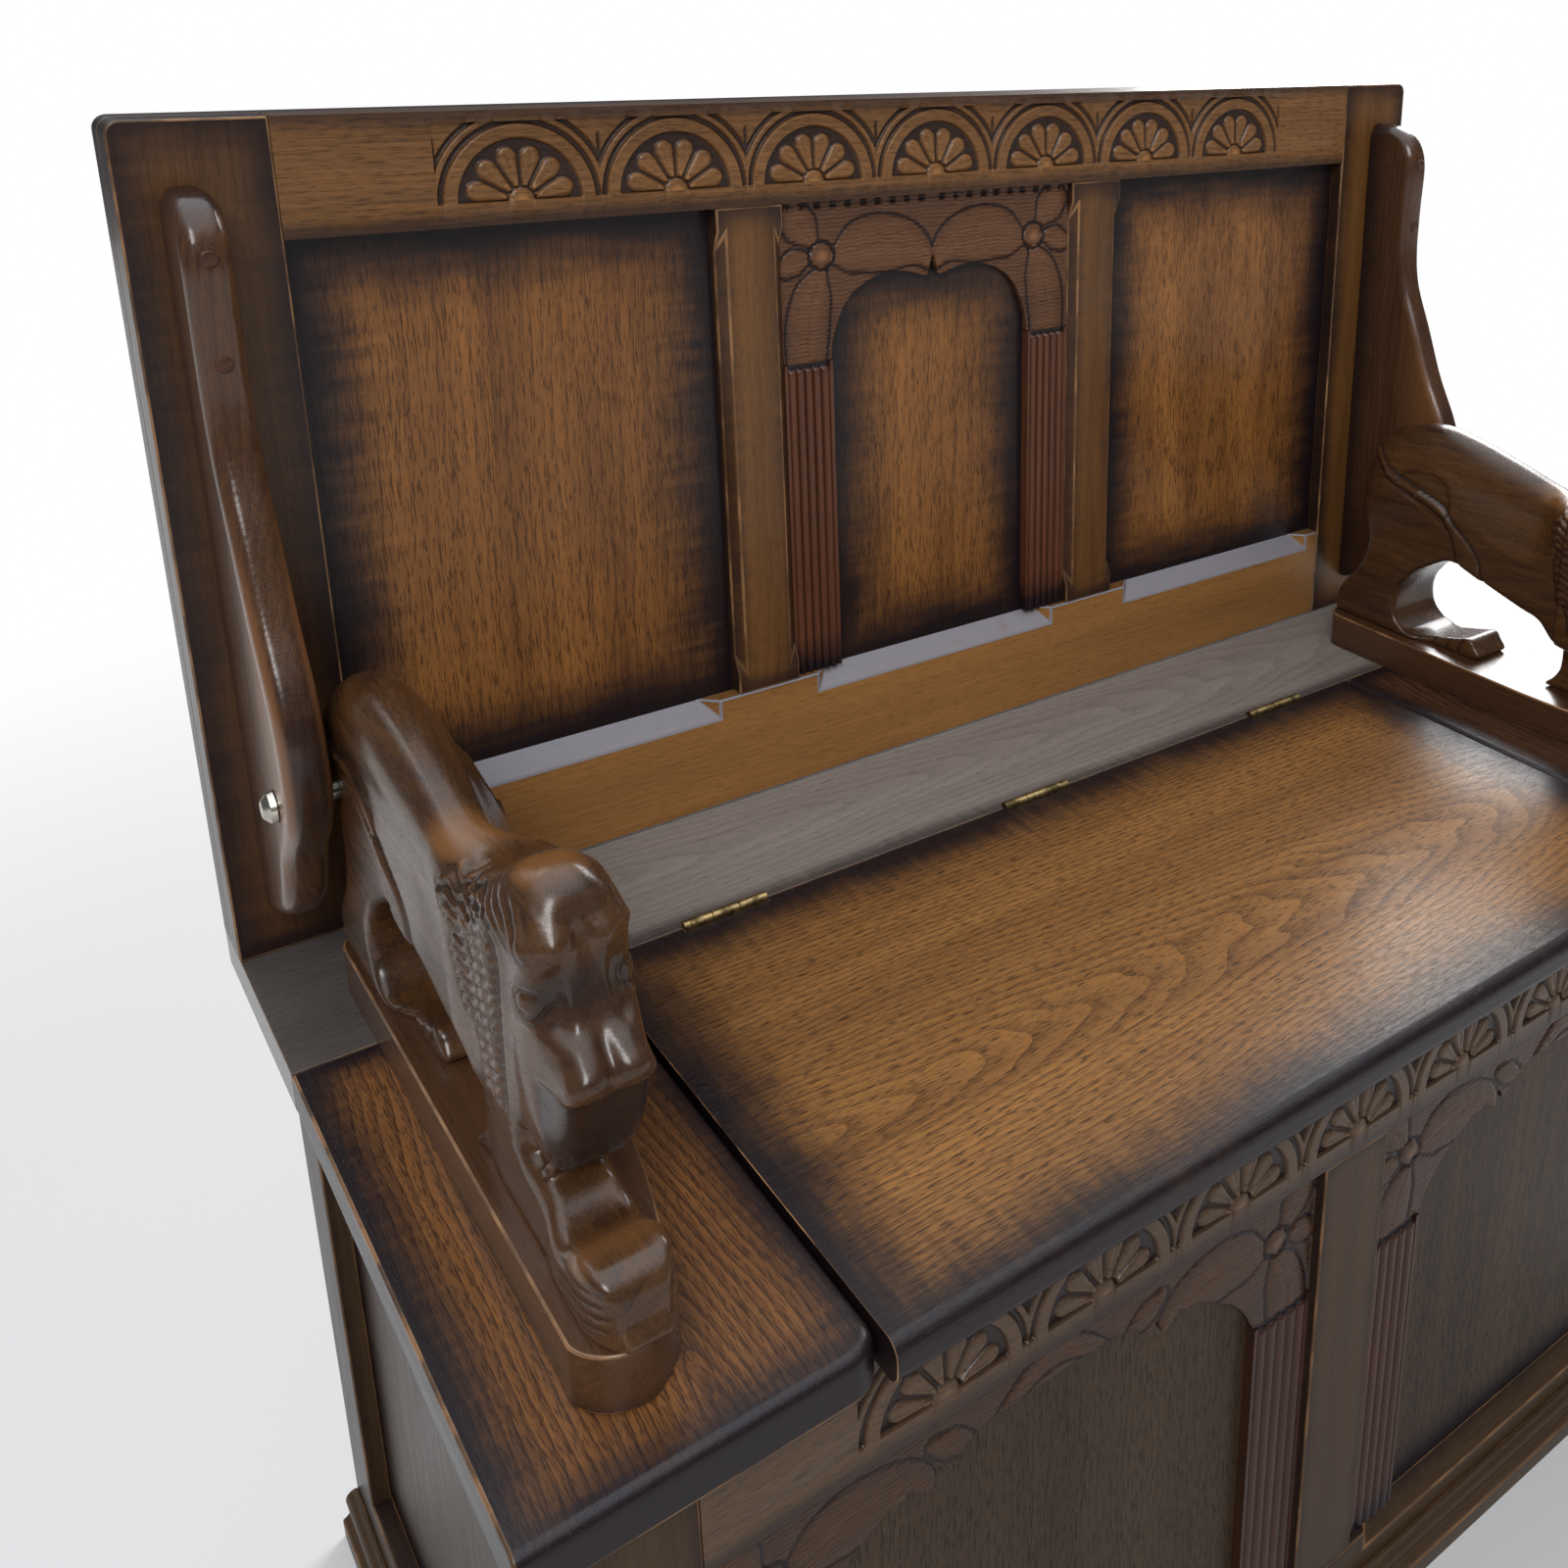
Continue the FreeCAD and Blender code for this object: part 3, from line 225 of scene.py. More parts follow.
def stained_wood(name, grain="X", light=(0.325, 0.132, 0.030), dark=(0.112, 0.043, 0.012), pores=0.7,
                 figure=0.35, rings=0.0042, heart=(0.25, -0.35), tilt=0.01, edges=(), margin=0.035,
                 edge_and_shade_colour=BURST_AND_SHADE, edge_strength=0.985, gloss=0.34, staves=0.0, wear_and_sheen=0.0,
                 carved=False, coat=0.08, specular=0.24, wear_and_sheen_colour=WORN, wear_and_sheen_from=0.40):
    """Make a lacquered wood; edges lists (axis, low, high) between which the board is lighter.

    The rings lie round a heart given across the grain, pores are short dark dashes, and staves is the
    width of glued strips. With carved, the finish reads a mesh's heights: low places get painted shade
    and high ones the rubbed colour, partly a painted highlight. With wear, it reads the mesh's rubbed
    arrises, which on the back's bottom rail carry a painted sheen over dust.
    """
    material = bpy.data.materials.new(name)
    material.use_nodes = True
    tree = material.node_tree
    tree.nodes.clear()
    where = add_node(tree, "TexCoord", at=3)
    split = tree.nodes.new("ShaderNodeSeparateXYZ")
    tree.links.new(where, split.inputs[0])
    order = AXES[grain]
    seed = random.Random(name)
    first, second, third = (split.outputs[number] for number in order)
    along = maths(tree, "ADD", first, seed.uniform(0, 9))
    lined = add_node(tree, "CombineXYZ", X=along, Y=second, Z=third)

    def streaks(length, width, detail):
        stretched = add_node(tree, "Mapping", Vector=lined, Scale=(1 / length, 1 / width, 1 / width))
        return add_node(tree, "TexNoise", Vector=stretched, Scale=1.0, Detail=detail, Roughness=0.55)

    broad = streaks(0.45, 0.030, 3)
    fibre = streaks(0.06, 0.0020, 2)
    dashes = streaks(0.009, 0.0007, 1)
    wander = streaks(0.16, 0.045, 2)
    beside = maths(tree, "SUBTRACT", second, heart[0])
    below = maths(tree, "MULTIPLY_ADD", first, tilt, maths(tree, "SUBTRACT", third, heart[1]))
    radius = maths(tree, "SQRT", maths(tree, "ADD", maths(tree, "MULTIPLY", beside, beside),
                                       maths(tree, "MULTIPLY", below, below)))
    phase = maths(tree, "FRACT", maths(tree, "MULTIPLY_ADD", radius, 1 / rings,
                                       maths(tree, "MULTIPLY", wander, 4.0)))
    early = maths(tree, "POWER", maths(tree, "SUBTRACT", 1.0, phase), 1.8)
    threshold = maths(tree, "MULTIPLY_ADD", early, -0.16 * figure, 0.585)
    pore = maths(tree, "MULTIPLY", spread(tree, maths(tree, "SUBTRACT", dashes, threshold), -0.01, 0.05),
                 pores)
    tone = maths(tree, "MULTIPLY_ADD", broad, 1.1, -0.12)
    tone = maths(tree, "MULTIPLY_ADD", fibre, 0.5, maths(tree, "SUBTRACT", tone, 0.22))
    tone = maths(tree, "SUBTRACT", tone, maths(tree, "MULTIPLY", early, 0.45 * figure), clamp=True)
    if staves:
        number = maths(tree, "DIVIDE", maths(tree, "ADD", second, FIRST_STAVE), staves)
        number = maths(tree, "FLOOR", number)
        step = add_node(tree, "TexWhiteNoise", noise_dimensions="1D",
                        W=maths(tree, "ADD", number, seed.uniform(0, 9)))
        tone = maths(tree, "ADD", tone, maths(tree, "MULTIPLY_ADD", step, 0.34, -0.17), clamp=True)
    colour = mixed(tree, tone, dark, light)
    colour = mixed(tree, pore, colour, tinted(dark, 0.30))
    if edges:
        across = add_node(tree, "Mapping", Vector=lined, Scale=(160.0, 22.0, 22.0))
        fine = add_node(tree, "TexNoise", Vector=across, Scale=1.0, Detail=2.0)
        cloudy = add_node(tree, "TexNoise", Vector=where, Scale=16.0, Detail=2.0)
        blotch = maths(tree, "MULTIPLY_ADD", fine, 0.5, maths(tree, "MULTIPLY", cloudy, 0.5))
        nearest_edge = None
        for axis, low, high in edges:
            place = split.outputs["XYZ".index(axis)]
            inside = maths(tree, "SMOOTH_MIN", maths(tree, "SUBTRACT", place, low),
                           maths(tree, "SUBTRACT", high, place), CORNER)
            if nearest_edge is None:
                nearest_edge = inside
            else:
                nearest_edge = maths(tree, "SMOOTH_MIN", nearest_edge, inside, CORNER)
        nearest_edge = maths(tree, "MULTIPLY_ADD", maths(tree, "SUBTRACT", blotch, 0.5), margin * 0.8,
                             nearest_edge)
        shade = spread(tree, nearest_edge, 0.05 * margin, margin, edge_strength, 0.0)
        colour = mixed(tree, shade, colour, edge_and_shade_colour)
    if carved:
        # Low places get painted shade in the dark edge colour; high places get the lighter rubbed colour,
        # partly a painted highlight
        height = add_node(tree, "Attribute", at=2, attribute_name="height")
        painted_low_shade = spread(tree, height, 0.20, 0.62, 0.93, 0.0)
        colour = mixed(tree, painted_low_shade, colour, edge_and_shade_colour)
        rubbed_and_lit = spread(tree, height, 0.72, 1.0, 0.0, 0.60)
        colour = mixed(tree, rubbed_and_lit, colour, tinted(light, 1.9))
    if wear_and_sheen:
        arris = add_node(tree, "Attribute", at=2, attribute_name="worn")
        patch = add_node(tree, "TexNoise", Vector=where, Scale=38.0, Detail=3.0)
        patch = spread(tree, patch, wear_and_sheen_from, wear_and_sheen_from + 0.26, 0.12, wear_and_sheen)
        colour = mixed(tree, maths(tree, "MULTIPLY", arris, patch), colour, wear_and_sheen_colour)
    rough = maths(tree, "MULTIPLY_ADD", fibre, 0.20, gloss - 0.10)
    depth = maths(tree, "MULTIPLY_ADD", pore, -1.0, maths(tree, "MULTIPLY", fibre, 0.35))
    relief = add_node(tree, "Bump", Strength=0.40, Distance=0.0004, Height=depth)
    shader = tree.nodes.new("ShaderNodeBsdfPrincipled")
    tree.links.new(colour, shader.inputs["Base Color"])
    tree.links.new(rough, shader.inputs["Roughness"])
    tree.links.new(relief, shader.inputs["Normal"])
    shader.inputs["Specular IOR Level"].default_value = specular
    shader.inputs["Coat Weight"].default_value = coat
    shader.inputs["Coat Roughness"].default_value = 0.20
    tree.links.new(shader.outputs[0], tree.nodes.new("ShaderNodeOutputMaterial").inputs[0])
    return material


def metal(name, colour, rough, tarnish):
    """Make an aged metal, with spots of tarnish."""
    material = bpy.data.materials.new(name)
    material.use_nodes = True
    tree = material.node_tree
    shader = tree.nodes["Principled BSDF"]
    where = add_node(tree, "TexCoord", at=3)
    spots = add_node(tree, "TexNoise", Vector=where, Scale=180.0, Detail=4.0)
    shade = mixed(tree, spread(tree, spots, 0.38, 0.62, 0.0, tarnish), colour, tinted(colour, 0.18))
    tree.links.new(shade, shader.inputs["Base Color"])
    tree.links.new(maths(tree, "MULTIPLY_ADD", spots, 0.3, rough - 0.12), shader.inputs["Roughness"])
    shader.inputs["Metallic"].default_value = 1.0
    return material


# Boards: the posts, rails, panels and tops are planed oak and beech, joined with brass hinges and
# steel bolts. Each has the shape of the CAD with its arrises eased; these are marked, so that the
# finish can show them rubbed, and the flat faces keep their flat look.

SHARP = 0.5


def limits(node):
    """Give a node's lowest and highest corners in metres."""
    low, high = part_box(node)
    return Vector(low), Vector(high)


def stand_in(made, node, material):
    """Dress a piece and let it stand for a CAD node, on that node's body."""
    source = frame["nodes"][node]
    made.data.materials.clear()
    made.data.materials.append(material)
    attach(made, body_of(source)[0])
    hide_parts(node)


def smooth_faces(shape, limit):
    """Smooth the faces of a bmesh, with sharp edges kept where faces meet at more than a limit."""
    for face in shape.faces:
        face.smooth = True
    for edge in shape.edges:
        edge.smooth = not edge.is_manifold or edge.calc_face_angle(0) < limit


def copied(shape, node):
    """Fill a bmesh with one closed, plain copy of a CAD node."""
    shape.from_mesh(frame["nodes"][node].data)
    bmesh.ops.remove_doubles(shape, verts=shape.verts, dist=2e-6)
    bmesh.ops.dissolve_limit(shape, angle_limit=0.01, verts=shape.verts, edges=shape.edges)


def eased_board(node, width):
    """Copy a CAD node with rounded arrises."""
    def fill(shape):
        copied(shape, node)
        worn = shape.faces.layers.float.new("worn")
        sharp = [edge for edge in shape.edges if edge.is_manifold and edge.calc_face_angle(0) > SHARP]
        made = bmesh.ops.bevel(shape, geom=sharp, offset=width, offset_type="OFFSET", segments=3,
                               profile=0.5, affect="EDGES", clamp_overlap=True)
        for face in made["faces"]:
            face[worn] = 1.0
        # The moulding along the back's bottom rail is marked too, for its painted sheen over dust
        for face in shape.faces:
            if node == "back_bottom_rail" and face.normal.z > 0.35 and face.normal.y < -0.2:
                face[worn] = 1.0
        smooth_faces(shape, 1.1)

    made = finished(node + "_eased", fill)
    made.modifiers.new("even", "WEIGHTED_NORMAL").keep_sharp = True
    return made


# The pieces that are carved in later sections, then the woods of the boards here.
CARVED = ("back_top_rail", "front_top_rail", "back_arch", "front_arch_left", "front_arch_right",
          "lion_arm_left", "lion_arm_right", "wing_left", "wing_right")
RAIL_LIGHT = (0.180, 0.078, 0.021)
RAIL_DARK = (0.070, 0.030, 0.009)
CHEST_OAK = dict(light=(0.058, 0.036, 0.020), dark=(0.028, 0.018, 0.012), specular=0.10, coat=0.03)
BEECH = dict(light=RAIL_LIGHT, dark=RAIL_DARK, pores=0.25, figure=0.25, margin=0.013,
             edge_strength=0.80, wear_and_sheen=0.45)
CHEST_BEECH = dict(light=(0.070, 0.040, 0.019), dark=(0.030, 0.017, 0.010), wear_and_sheen=0.30, specular=0.12,
                   coat=0.03)
BACK_MUNTIN = dict(margin=0.020, edge_strength=0.85)
ARM_PLINTH = dict(light=(0.100, 0.044, 0.018), dark=(0.028, 0.013, 0.008), wear_and_sheen=0.5, gloss=0.24,
                  coat=0.35, margin=0.02)
SPECIAL = {
    # The back's bottom rail: its moulding gets a bluish-grey colour, partly dust on the wax and partly a
    # painted reflection of the pale surround
    "back_bottom_rail": dict(light=(0.330, 0.155, 0.045), dark=(0.160, 0.070, 0.020), margin=0.008,
                             edge_strength=0.45, wear_and_sheen=0.80, wear_and_sheen_colour=(0.200, 0.215, 0.255),
                             wear_and_sheen_from=0.10),
    "back_stile_left": dict(light=(0.130, 0.056, 0.018), dark=(0.045, 0.020, 0.008), margin=0.030,
                            edge_strength=0.9),
    "back_stile_right": dict(margin=0.022, edge_strength=0.9),
    "back_muntin_left": BACK_MUNTIN,
    "back_muntin_right": BACK_MUNTIN,
    "arm_plinth_left": ARM_PLINTH,
    "arm_plinth_right": ARM_PLINTH,
}
TOP_BOARDS = {
    "lid_board": dict(grain="X", heart=(-0.115, 0.412), tilt=0.10, figure=0.70, margin=0.055, wear_and_sheen=0.95,
                      light=(0.400, 0.185, 0.054), dark=(0.160, 0.070, 0.021), pores=0.8),
    "seat_end_board_left": dict(grain="Y", heart=(-0.372, 0.425), tilt=0.13, figure=0.85, margin=0.030,
                                light=(0.300, 0.125, 0.036), dark=(0.080, 0.032, 0.012), wear_and_sheen=0.5,
                                rings=0.0045),
    "seat_end_board_right": dict(grain="Y", heart=(0.372, 0.425), tilt=0.13, figure=0.8, margin=0.030,
                                 light=(0.130, 0.055, 0.022), dark=(0.045, 0.020, 0.011), wear_and_sheen=0.4,
                                 rings=0.0045),
    # The rear board's greyish colours are its brown oak lightened by a painted reflection of the pale
    # surround, seen at a low angle
    "seat_rear_board": dict(grain="X", heart=(0.150, 0.420), tilt=0.08, figure=0.6, margin=0.018,
                            light=(0.300, 0.265, 0.240), dark=(0.190, 0.165, 0.148), wear_and_sheen=0.3, pores=0.3,
                            edge_strength=0.7, rings=0.0050, gloss=0.30, coat=0.3),
    "table_board": dict(grain="X", heart=(0.62, 0.190), tilt=0.05, figure=0.6, margin=0.05, wear_and_sheen=0.3),
}
METALS = {"hinge": ("_brass", (0.34, 0.235, 0.105), 0.40, 0.85),
          "bolt": ("_steel", (0.62, 0.58, 0.50), 0.26, 0.35)}
METAL_EASE, TOP_EASE, PANEL_EASE, RAIL_EASE = 0.0003, 0.0016, 0.0008, 0.0012
STAVE = 0.083


def dark_edges(axes, low, high, out):
    """List (axis, low, high) for the stain's dark edges, a little way out from a board's limits."""
    return [(axis, low["XYZ".index(axis)] - out, high["XYZ".index(axis)] + out) for axis in axes]


for node in sorted(frame["nodes"]):
    if node in CARVED or "pilaster" in node:
        continue
    low, high = limits(node)
    span = high - low
    axes = "YZ" if span.x < span.y and span.x < span.z else "XZ"
    kind = next((kind for kind in METALS if kind in node), None)
    if kind:
        ending, colour, rough, tarnish = METALS[kind]
        width = METAL_EASE
        material = metal(node + ending, colour, rough, tarnish)
    elif node in TOP_BOARDS:
        edges = dark_edges("XZ" if node == "table_board" else "XY", low, high, 0.0)
        # The rear board's dark margin begins at x -0.402, so its whole left end, beside the wing, is dark
        if node == "seat_rear_board":
            edges[0] = ("X", -0.402, 0.470)
        width = TOP_EASE
        material = stained_wood(node + "_oak", edges=edges, **TOP_BOARDS[node])
    elif "panel" in node:
        edges = dark_edges(axes, low, high, -0.008)
        if node == "back_panel_middle":
            edges = [("X", -0.079, 0.079), ("Z", 0.530, 0.797)]
        given = dict(margin=0.054) if node.startswith("back") else dict(CHEST_OAK, margin=0.030)
        width = PANEL_EASE
        material = stained_wood(node + "_oak", grain="Z", edges=edges, staves=STAVE, **given)
    else:
        grain = "XYZ"[max(range(3), key=lambda axis: span[axis])]
        edges = dark_edges(axes, low, high, 0.004)
        if "plinth" in node:
            edges = [("Z", low.z - 0.01, high.z + 0.03)]
        given = dict(BEECH, grain=grain, edges=edges)
        given.update(SPECIAL.get(node, {} if node.startswith("back") else CHEST_BEECH))
        width = RAIL_EASE
        material = stained_wood(node + "_beech", **given)
    stand_in(eased_board(node, width), node, material)


# Pressed and carved boards: grids whose front is worked in relief, closed behind to a board.
# The friezes repeat a half-round flower; the pilasters are reeded, with rounded reed tops.

def lines(*stops):
    """Give grid lines in millimetres from (end, pitch) stops, the first of which is the start."""
    found = [stops[0]]
    for end, pitch in stops[1:]:
        count = max(1, round(abs(end - found[-1]) / pitch))
        found.extend(np.linspace(found[-1], end, count + 1)[1:])
    return np.array(found)


def relief_board(name, xs, zs, front, back, relief):
    """Make a board whose front is moved in by a relief given as (depth, height) at each place."""
    across, up = np.meshgrid(xs, zs)
    depth, height = relief(across, up)

    def fill(shape):
        layer = shape.verts.layers.float.new("height")
        bmesh.ops.create_grid(shape, x_segments=len(xs) - 1, y_segments=len(zs) - 1, size=0.5)
        for vert in shape.verts:
            column = round((vert.co.x + 0.5) * (len(xs) - 1))
            row = round((vert.co.y + 0.5) * (len(zs) - 1))
            vert[layer] = height[row, column]
            vert.co = (xs[column] / 1000, front + depth[row, column] / 1000, zs[row] / 1000)
        rim = [edge for edge in shape.edges if edge.is_boundary]
        grown = bmesh.ops.extrude_edge_only(shape, edges=rim)
        for item in grown["geom"]:
            if isinstance(item, bmesh.types.BMVert):
                item.co.y = back
        bmesh.ops.holes_fill(shape, edges=[edge for edge in shape.edges if edge.is_boundary], sides=0)
        bmesh.ops.recalc_face_normals(shape, faces=shape.faces)
        smooth_faces(shape, 1.2)

    return finished(name, fill)


def ease(value, low, high):
    """Rise smoothly from 0 at the low limit to 1 at the high one."""
    t = np.clip((value - low) / (high - low), 0, 1)
    return t * t * (3 - 2 * t)


def bump(value, middle, reach):
    """A smooth bump of height 1 round a middle."""
    return np.exp(-((value - middle) / reach) ** 2)


# The carved field in millimetres: half its length, one of its seven bays, its height and depth.
FIELD = 313.0
BAY = 2 * FIELD / 7
FIELD_HIGH = 43.0
GROUND = 2.7
# A flower's petals in degrees and millimetres out from its middle, and the knob in the middle.
PETAL_TURN = 30
PETAL_FOOT, PETAL_TIP = 8.4, 24.5
KNOB = 7.4
# The grid's pitch in millimetres: in the field, above and below it, and beside it.
FINE, COARSE, PLAIN_PITCH = 0.62, 20, 80


def frieze(foot):
    """Give the relief of a frieze whose field starts at a height in millimetres."""
    def relief(x, z):
        up = z - foot
        t = (x + FIELD) % BAY - BAY / 2
        reach = np.hypot(t, up)
        angle = np.degrees(np.arctan2(np.maximum(up, 0.0), t))
        turned = np.radians((angle % PETAL_TURN) - PETAL_TURN / 2)
        beside = reach * np.abs(np.sin(turned))
        wide = np.maximum(0.262 * reach - 0.75, 0.6)
        tip = 1 - ((reach - PETAL_TIP) ** 2 + beside ** 2) / 31
        petal = np.where(reach < PETAL_TIP, 1 - (beside / wide) ** 2, tip)
        petal = np.sqrt(np.clip(petal, 0, 1)) * (reach > PETAL_FOOT)
        petal -= 0.28 * bump(beside, 0, 1.3) * (reach > 12) * (reach < 27)
        knob = np.sqrt(np.clip(1 - (reach / KNOB) ** 2, 0, 1))
        band = ease(reach, 33.0, 34.4) * (1 - ease(reach, 40.6, 41.8))
        strip = ease(reach, 43.6, 44.8) * (1 - ease(reach, 47.0, 48.0))
        middle = BAY / 2 - np.abs(t)
        tongue = ease(reach, 49.4, 51.0) * (0.92 - 0.9 * bump(middle, 0, 1.0) * ease(up, 18, 22)
                                            * (1 - ease(up, 33, 37)))
        level = np.maximum.reduce([petal * 0.95, knob, band, strip * 0.85, tongue * 0.85])
        inside = (np.abs(x) < FIELD - 0.3) & (up > 0.3) & (up < FIELD_HIGH - 0.3)
        depth = np.where(inside, GROUND * (1 - level), 0.0)
        # Height for the finish: the cut-back ground gets painted shade, and the knobs and petals the
        # lighter rubbed colour, partly a painted highlight
        height = np.where(inside, 0.27 + 0.41 * level + 0.20 * knob + 0.16 * petal, 0.66)
        return depth, height
    return relief


FRIEZES = (("back_top_rail", 858.0, (0.255, 0.118, 0.040), RAIL_DARK),
           ("front_top_rail", 384.0, (0.105, 0.058, 0.028), (0.04, 0.022, 0.012)))
for node, foot, light, dark in FRIEZES:
    low, high = limits(node)
    xs = lines(low.x * 1000, (-FIELD, PLAIN_PITCH), (FIELD, FINE), (high.x * 1000, PLAIN_PITCH))
    zs = lines(low.z * 1000, (foot, COARSE), (foot + FIELD_HIGH, FINE), (high.z * 1000, COARSE))
    made = relief_board(node + "_carved", xs, zs, low.y, high.y, frieze(foot))
    edges = [("Z", low.z, high.z), ("X", -0.45, 0.45)]
    material = stained_wood(node + "_oak", light=light, dark=dark, pores=0.45, figure=0.3, edges=edges,
                            margin=0.012, edge_strength=0.70, carved=True)
    stand_in(made, node, material)


# The reeds in millimetres: how many, the plain edge beside and above them, and their depth.
REEDS = 5
REED_EDGE = 2.5
REED_TOP = 3.0
REED_DEEP = 3.2


def reeding(start, wide, top):
    """Give the relief of a reeded board from its left side, width and top in millimetres."""
    pitch = (wide - 2 * REED_EDGE) / REEDS

    def relief(x, z):
        place = (x - start - REED_EDGE) / pitch
        beside = 2 * (place % 1) - 1
        inside = (place > 0) & (place < REEDS)
        from_top = top - REED_TOP - z
        end = np.clip(1 - np.clip(1 - from_top / (pitch / 2), 0, 1) ** 2, 0, 1)
        reed = np.sqrt(np.clip(1 - (0.97 * beside) ** 2, 0, 1)) * np.sqrt(end)
        ridge = np.where(inside, reed * (from_top > 0), 0.72)
        # Height for the finish: the grooves between the reeds get painted shade
        return REED_DEEP * (1 - ridge), 0.15 + 0.55 * ridge
    return relief


for node in sorted(node for node in frame["nodes"] if "pilaster" in node):
    low, high = limits(node)
    start, wide, top = low.x * 1000, (high.x - low.x) * 1000, high.z * 1000
    xs = lines(start, (high.x * 1000, 0.45))
    zs = lines(low.z * 1000, (top - 14, 12), (top, 0.6))
    made = relief_board(node + "_reeded", xs, zs, low.y, high.y, reeding(start, wide, top))
    tint = 1.0 if node.startswith("back") else 0.5
    material = stained_wood(node + "_wood", grain="Z", light=tinted((0.130, 0.044, 0.019), tint),
                            dark=tinted((0.050, 0.018, 0.010), tint), pores=0.3, figure=0.2,
                            gloss=0.30, edges=[("Z", low.z, high.z + 0.02)], margin=0.03, carved=True)
    stand_in(made, node, material)


# Arches: boards sawn to a lobed outline and carved. Each has a boss at both corners with leaves
# round it, gouge marks and a row of punched squares. They are worked in millimetres: a blank is
# sawn, given one even skin, and then cut.

def flowing(points, step):
    """Lay even points along a smooth line through the given ones."""
    points = [Vector(point) for point in points]
    line = []
    for number in range(len(points) - 1):
        a = points[max(number - 1, 0)]
        b, c = points[number], points[number + 1]
        d = points[min(number + 2, len(points) - 1)]
        count = max(1, round((c - b).to_2d().length / step))
        for part in range(count):
            t = part / count
            line.append(0.5 * (2 * b + (c - a) * t + (2 * a - 5 * b + 4 * c - d) * t * t
                               + (3 * b - a - 3 * c + d) * t * t * t))
    return np.array([list(point) for point in line + [points[-1]]])


def nearest(line, s, h):
    """Give each place's distance to a line, its share along the line and the line's third value there."""
    best = np.full(s.shape, 1e9)
    share = np.zeros(s.shape)
    extra = np.zeros(s.shape)
    for number in range(len(line) - 1):
        a, b = line[number], line[number + 1]
        run = b[:2] - a[:2]
        t = np.clip(((s - a[0]) * run[0] + (h - a[1]) * run[1]) / max(run @ run, 1e-9), 0, 1)
        away = np.hypot(s - a[0] - t * run[0], h - a[1] - t * run[1])
        closer = away < best
        best = np.where(closer, away, best)
        share = np.where(closer, (number + t) / (len(line) - 1), share)
        if len(a) > 2:
            extra = np.where(closer, a[2] + (b[2] - a[2]) * t, extra)
    return best, share, extra


def remeshed(made, voxel):
    """Give an object one even skin."""
    skin = made.modifiers.new("skin", "REMESH")
    skin.mode = "VOXEL"
    skin.voxel_size = voxel
    shown = made.evaluated_get(bpy.context.evaluated_depsgraph_get())
    mesh = bpy.data.meshes.new_from_object(shown)
    made.modifiers.clear()
    made.data = mesh


def places(made):
    """Read an object's points as an array."""
    found = np.empty(len(made.data.vertices) * 3)
    made.data.vertices.foreach_get("co", found)
    return found.reshape(-1, 3)


def move_to(made, points):
    """Put an object's points where an array says."""
    made.data.vertices.foreach_set("co", points.ravel())
    made.data.update()


def keep_height(made, height):
    """Store the level that the finish reads, where low places get painted shade and high ones the rubbed
    colour, partly a painted highlight; and show the skin smooth.
    """
    kept = made.data.attributes.new("height", "FLOAT", "POINT")
    kept.data.foreach_set("value", np.clip(height, 0, 1))
    made.data.polygons.foreach_set("use_smooth", [True] * len(made.data.polygons))


def relax(made, rounds, factor=0.5):
    """Smooth a mesh a little."""
    shape = bmesh.new()
    shape.from_mesh(made.data)
    for _ in range(rounds):
        bmesh.ops.smooth_vert(shape, verts=shape.verts, factor=factor, use_axis_x=True,
                              use_axis_y=True, use_axis_z=True)
    shape.to_mesh(made.data)
    shape.free()


def slab(outline, low, high, turned=False):
    """Give a bmesh filler for a board with an outline; turned stands it up facing the front."""
    def fill(shape):
        if turned:
            ring = [shape.verts.new((a, low, b)) for a, b in outline]
            along = (0, high - low, 0)
        else:
            ring = [shape.verts.new((low, a, b)) for a, b in outline]
            along = (high - low, 0, 0)
        face = shape.faces.new(ring)
        grown = bmesh.ops.extrude_face_region(shape, geom=[face])
        moved = [item for item in grown["geom"] if isinstance(item, bmesh.types.BMVert)]
        bmesh.ops.translate(shape, verts=moved, vec=along)
        bmesh.ops.triangulate(shape, faces=[item for item in shape.faces if len(item.verts) > 4])
        bmesh.ops.recalc_face_normals(shape, faces=shape.faces)
    return fill


ARCH_SKIN = 0.95
# Half outlines from the leg's foot to the middle: distance from the middle, drop below the rail.
BACK_EDGE = ((78, 103), (77, 92), (73, 79.5), (68, 69), (61.5, 61), (51, 54.5), (40, 50.8), (28, 49.8),
             (17, 51.5), (5, 55.5), (4.2, 54.5), (2.5, 48), (0.6, 41.5))
FRONT_EDGE = ((136, 86), (131, 75), (126, 67), (119, 58.5), (102, 46), (92, 39.5), (80, 37), (70.5, 44.6),
              (68.6, 44), (65.6, 33.2), (64.6, 33.2), (61.6, 42), (60, 41.4), (50, 30.5), (38, 26),
              (20, 26), (1, 26))
# A boss, and the leaves round it: distances in from the corner and down from the rail, and the
# half width of a leaf there.
BOSS = (29.5, 35.2)
BOSS_RADIUS = 8.2
LEAVES = (
    ((38, 37, 4), (48, 35, 12), (62, 31, 16), (78, 31, 16.5), (92, 33, 14), (102, 38, 10), (109, 45, 5)),
    ((24, 27, 3.5), (17, 18, 10), (12, 11, 10)),
    ((20, 36, 3), (11, 38, 7.5), (5, 41, 6)),
    ((29, 45, 3.5), (24, 56, 10.5), (20, 70, 13), (18, 84, 13.5), (17, 101, 12.5)),
)
MIDDLE_LEAVES = (((149, 28, 3), (160, 20, 5), (173, 13, 6.5), (190, 12, 7)),
                 ((112, 20, 4), (120, 25, 7), (128, 30, 5)))
# Levels of the carving, from 0 in the ground to 1 on the ridges: plain wood, and what counts as leaf.
PLAIN_LEVEL, LEAF_LEVEL = 0.62, 0.63
PUNCH_PITCH = 11


